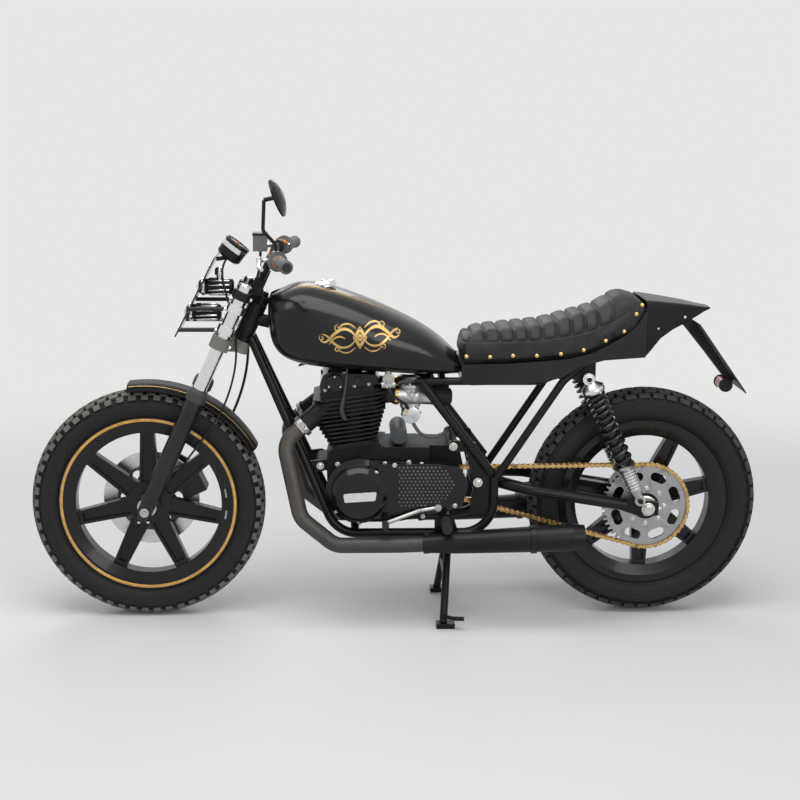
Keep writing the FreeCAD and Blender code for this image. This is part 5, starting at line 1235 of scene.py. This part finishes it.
yoke_nuts.turned([(-2, 17.2), (6, 17.2), (8, 15), (8, 9), (6, 8)],
                 front_axle + steer_back * 50 + steer_up * 689, steer_up, 6)
yoke_nuts.make("yoke_nuts", plated, "upper_yoke", "steering")

# Front mudguard: short pressed steel blade in dull black with a gold line near its edge and
# a black rolled edge, bolted to the inner side of the fork legs.
dress(sprayed("guard_black", (0.005, 0.005, 0.006), 0.40, skin=160.0, depth=0.05, wear=0.1, shine=0.06),
      "front_mudguard")
guard_line, guard_bead, guard_bolts = Piece(), Piece(), Piece()
guard_crown, guard_half, guard_lip = 354.35, 59, 336.4
for side, out in both_sides:
    guard_line.strip(*([spun(front_axle, angle, guard_crown - drop, side * (guard_half * share + 0.2))
                        for angle in range(83, 152)] for share, drop in ((0.775, 6.15), (0.825, 6.95))))
    guard_bead.tube([spun(front_axle, angle, guard_lip, side * (guard_half - 0.6))
                     for angle in range(82, 153, 2)], 1.5, 8)
    for height in (318, 346):
        guard_bolts.bolt(on_fork(height, side) - out * 24.5 + steer_back * 3, -out, 4.6, 3)
guard_line.make("mudguard_gold_line", gold_line, "front_mudguard", "steering")
guard_bead.make("mudguard_rolled_edge", satin_black, "front_mudguard", "steering")
guard_bolts.make("mudguard_bolts", plated, "front_mudguard", "steering")

# Handlebar: low one-piece bar in satin black; grey moulded grips with orange studs, bright
# levers, and switch blocks with orange buttons.
dress(sprayed("bar_black", (0.014, 0.014, 0.015), 0.28, skin=700.0), "handlebar")
dress(bare_metal("lever_alloy", (0.60, 0.60, 0.60), 0.30, grime=0.25), "bar_controls")
grip_rubber = jacket("grip_rubber", (0.17, 0.168, 0.165), 0.62)
dress(grip_rubber, "grips")
orange = jacket("orange_rubber", (0.70, 0.21, 0.03), 0.45)
bar_foot = front_axle + steer_back * 30 + steer_up * 733
bar_tip, bar_knee = bar_foot + point(-78, 319, 60), bar_foot + point(-29, 126, 64)
bar_way = (bar_tip - bar_knee).normalized()
grip_spots, grip_rings, switches, buttons, plugs, pivots = (Piece() for _ in range(6))
for side in (1, -1):
    flip = Matrix.Diagonal((1, side, 1))
    end, way = flip @ bar_tip, flip @ bar_way
    start, block_at = end - way * 113, end - way * 153
    for along, turn in ((16, 0.4), (19, 2.5), (17, 4.4), (27, 1.5), (30, 3.5), (28, 5.6),
                        (39, 0.6), (41, 2.6), (38, 4.7)):
        ray = ray_round(way, turn)
        grip_spots.turned([(-0.9, 5.0), (0.5, 4.7), (0.9, 3.2), (1.0, 0.2)],
                          start + way * along + ray * 17, ray, 14)
    for along in (9.5, 109.0):
        grip_rings.turned([(along, 17.0), (along + 0.6, 18.2), (along + 3.0, 18.2), (along + 3.6, 17.0)],
                          start, way, 36, loop=True)
    switches.turned([(-19, 17), (-18, 19), (-1, 19.4), (0, 18), (1, 19.4), (14, 19), (15, 17)],
                    block_at, way, 28)
    for outline, spot, facing in (
            ([(0, 6.4), (5.4, 6.2), (6.4, 4.8)], point(-14.5, 0, 11) - way * 6, point(-0.8, 0, 0.6)),
            ([(0, 5.4), (4.0, 5.2), (5.0, 4.0)], point(-17, 0, 6) + way * 6, point(-0.95, 0, 0.3))):
        buttons.turned(outline, block_at + spot, facing, 16)
    buttons.tube([block_at + point(8, 0, 16) + way * 2, block_at + point(13, 0, 20) + way * 10], [4.2, 2.8])
    plugs.turned([(-1, 12.4), (0.5, 12.4), (1.1, 11.4), (1.1, 8.6), (0.3, 8.0), (0.3, 5), (1.0, 4.4),
                  (1.0, 0.2)], end + way * 5, way, 32)
    pivots.turned([(-8, 7.5), (8, 7.5), (9, 6.5), (9, 3)], flip @ (perch + point(44, 6, 2)), up, 20)
    pivots.bolt(flip @ (perch + point(-17, 0, 3)), point(-1, 0, 0), 3.6, 4, False)
grip_spots.make("grip_studs", orange, "grips", "steering")
plugs.make("grip_plugs", cord_black, "grips", "steering")
grip_rings.make("grip_rings", grip_rubber, "grips", "steering")
switches.make("switch_blocks", sprayed("switch_black", (0.02, 0.02, 0.02), 0.4), "bar_controls", "steering")
buttons.make("switch_buttons", orange, "bar_controls", "steering")
pivots.make("lever_pivots", plated, "bar_controls", "steering")
cup_corners = [(perch.x + x, -perch.y + y) for x, y in ((43, -3), (83, -3), (83, 47), (43, 47))]
Piece().rows([[point(x, y, perch.z + z) for x, y in cup_corners] for z in (-13.4, 33)]).make(
    "reservoir_cup", jacket("reservoir_plastic", (0.15, 0.15, 0.148), 0.45), "bar_controls", "steering")
lid_corners = [(x + (-1 if x < perch.x + 60 else 1), y + (-1 if y < 20 - perch.y else 1))
               for x, y in cup_corners]
Piece().rows([[point(x, y, perch.z + z) for x, y in lid_corners] for z in (32.6, 39.0)]).make(
    "reservoir_lid", satin_black, "bar_controls", "steering", crease=20.0)

# Mirror: round black shell on a thin stalk that stands on the left lever's perch, with its
# silvered glass facing the rider.
dress(sprayed("mirror_black", (0.006, 0.006, 0.007), 0.22, coat=0.15, wear=0.1), "mirror")
glass, place, shader = new_finish("mirror_glass")
film = place.noise(30.0, 3.0)
fill(shader, {"Base Color": film.shade((0.78, 0.79, 0.80), (0.86, 0.87, 0.88)), "Metallic": 1.0,
              "Roughness": film * 0.04 + 0.01})
Piece().turned([(3.9, 49.5), (4.5, 49.5), (4.7, 48.5)], perch + point(-7, 22, 168),
               point(0.93, -0.1, -0.36), 64).make("mirror_pane", glass, "mirror", "steering")

# Front lamps and gauge: two bright ribbed projector barrels through a flat black plate whose
# clamps on the fork tubes are bright, and above them a small round speedometer, black dialled.
plate_black = sprayed("lamp_plate_black", (0.010, 0.010, 0.011), 0.24, coat=0.4)
place, shader = opened(plate_black)
before = place.dot(steer_back) - steer_back.dot(front_axle * mm)
beside = place.part("Y").maths("ABSOLUTE") - fork_aside * mm
clamp_reach = 30.0 * mm
on_tube = 1.0 - ((before * before + beside * beside) ** 0.5).rise(clamp_reach, clamp_reach + 0.4 * mm)
paint, gloss = (Field(plate_black.node_tree, shader[name].links[0].from_socket)
                for name in ("Base Color", "Roughness"))
fill(shader, {"Base Color": on_tube.shade(paint, (0.78, 0.78, 0.79)), "Metallic": on_tube,
              "Roughness": gloss - on_tube * 0.08})
dress(plate_black, "headlamp_plate")
dress(sprayed("lamp_body_black", (0.009, 0.009, 0.010), 0.3), "headlamps", "speedometer")
forward = point(-1, 0, 0)
ribs, lenses = Piece(), Piece()
for lens_at in (front_axle + point(-148, 0, 621), front_axle + point(-112, 0, 550)):
    for k in range(10):
        angle = math.radians(36 * k + 18)
        ray = point(0, math.cos(angle), math.sin(angle)) * 22.4
        ribs.tube([lens_at + ray + forward * x for x in (34, 36, 92, 94)], [1.6, 3.0, 3.0, 1.6])
    ribs.turned([(1.5, 21.8), (0, 24.6), (-7, 25.2), (-9, 24.2), (-9, 22.6), (-3, 21.4)],
                lens_at + forward * 24, forward, 48, loop=True)
    lenses.turned([(14, 20.6), (9, 17.8), (4, 12.4), (0.6, 6.6), (-0.4, 0.3)], lens_at, forward, 40)
ribs.turned([(-3, 8), (12, 8), (13, 12.5), (27, 12.5), (32, 10), (34.5, 4), (34.6, 0.2)],
            front_axle + point(-212, 0, 641.5), up, 28)
ribs.make("lamp_ribs", plated, "headlamps", "steering")
lamp_glass, place, shader = new_finish("lamp_glass")
swirl = place.noise(60.0)
fill(shader, {"Base Color": swirl.shade((0.55, 0.58, 0.62), (0.72, 0.75, 0.78)), "Coat Weight": 1.0,
              "Roughness": swirl * 0.03 + 0.02, "Metallic": 0.35 + swirl * 0.2})
lenses.make("lamp_lenses", lamp_glass, "headlamps", "steering")
dial_black = sprayed("dial_black", (0.008, 0.008, 0.009), 0.25, coat=0.6, wear=0.0)
Piece().turned([(24.0, 33), (24.6, 33), (24.7, 32)], gauge, gauge_way, 48).make(
    "gauge_dial", dial_black, "speedometer", "steering")
dial_right, dial_top = square_to(gauge_way)


def dial_mark(piece, degrees, lift, corners, thick):
    """Flat mark or hand on the dial, at an angle from its top: corners as (outward, sideways)."""
    c, s = math.cos(math.radians(degrees)), math.sin(math.radians(degrees))
    ray, square = dial_top * c + dial_right * s, dial_right * c - dial_top * s
    piece.slab([gauge + gauge_way * lift + ray * away + square * aside for away, aside in corners],
               gauge_way * thick)


ticks, needle = Piece(), Piece()
for k in range(25):
    inner, width = (24.0, 0.8) if k % 4 == 0 else (27.0, 0.45)
    dial_mark(ticks, -130 + 260 * k / 24, 24.8,
              ((inner, -width), (30.5, -width), (30.5, width), (inner, width)), 0.15)
ticks.make("gauge_ticks", jacket("dial_white", (0.78, 0.78, 0.76), 0.5), "speedometer", "steering")
dial_mark(needle, -128, 25.2, ((-6, -1.1), (25, -0.4), (25, 0.4), (-6, 1.1)), 0.5)
needle.turned([(0, 3.6), (1.2, 3.4), (1.6, 2.6)], gauge + gauge_way * 25.2, gauge_way, 20)
needle.make("gauge_needle", orange, "speedometer", "steering")
for name, finish, outline in (
        ("gauge_sleeve", plated, [(2, 36.9), (2.4, 37.8), (15.6, 37.8), (16, 36.9)]),
        ("gauge_bezel", dial_black,
         [(20, 36.8), (21, 38.2), (26, 38.0), (27.4, 36), (27, 33.2), (24.6, 32.8)])):
    Piece().turned(outline, gauge, gauge_way, 56, loop=True).make(name, finish, "speedometer", "steering")
plate_screws = Piece()
down = point(111, 0, -214).normalized()
facing = point(-down.z, 0, down.x)
for along in (24, 216):
    for y in (-82, 82):
        plate_screws.bolt(front_axle + point(-207, y, 709) + down * along + facing * 2, facing, 3.6, 2.6)
plate_screws.make("lamp_plate_screws", zinc, "headlamp_plate", "steering")
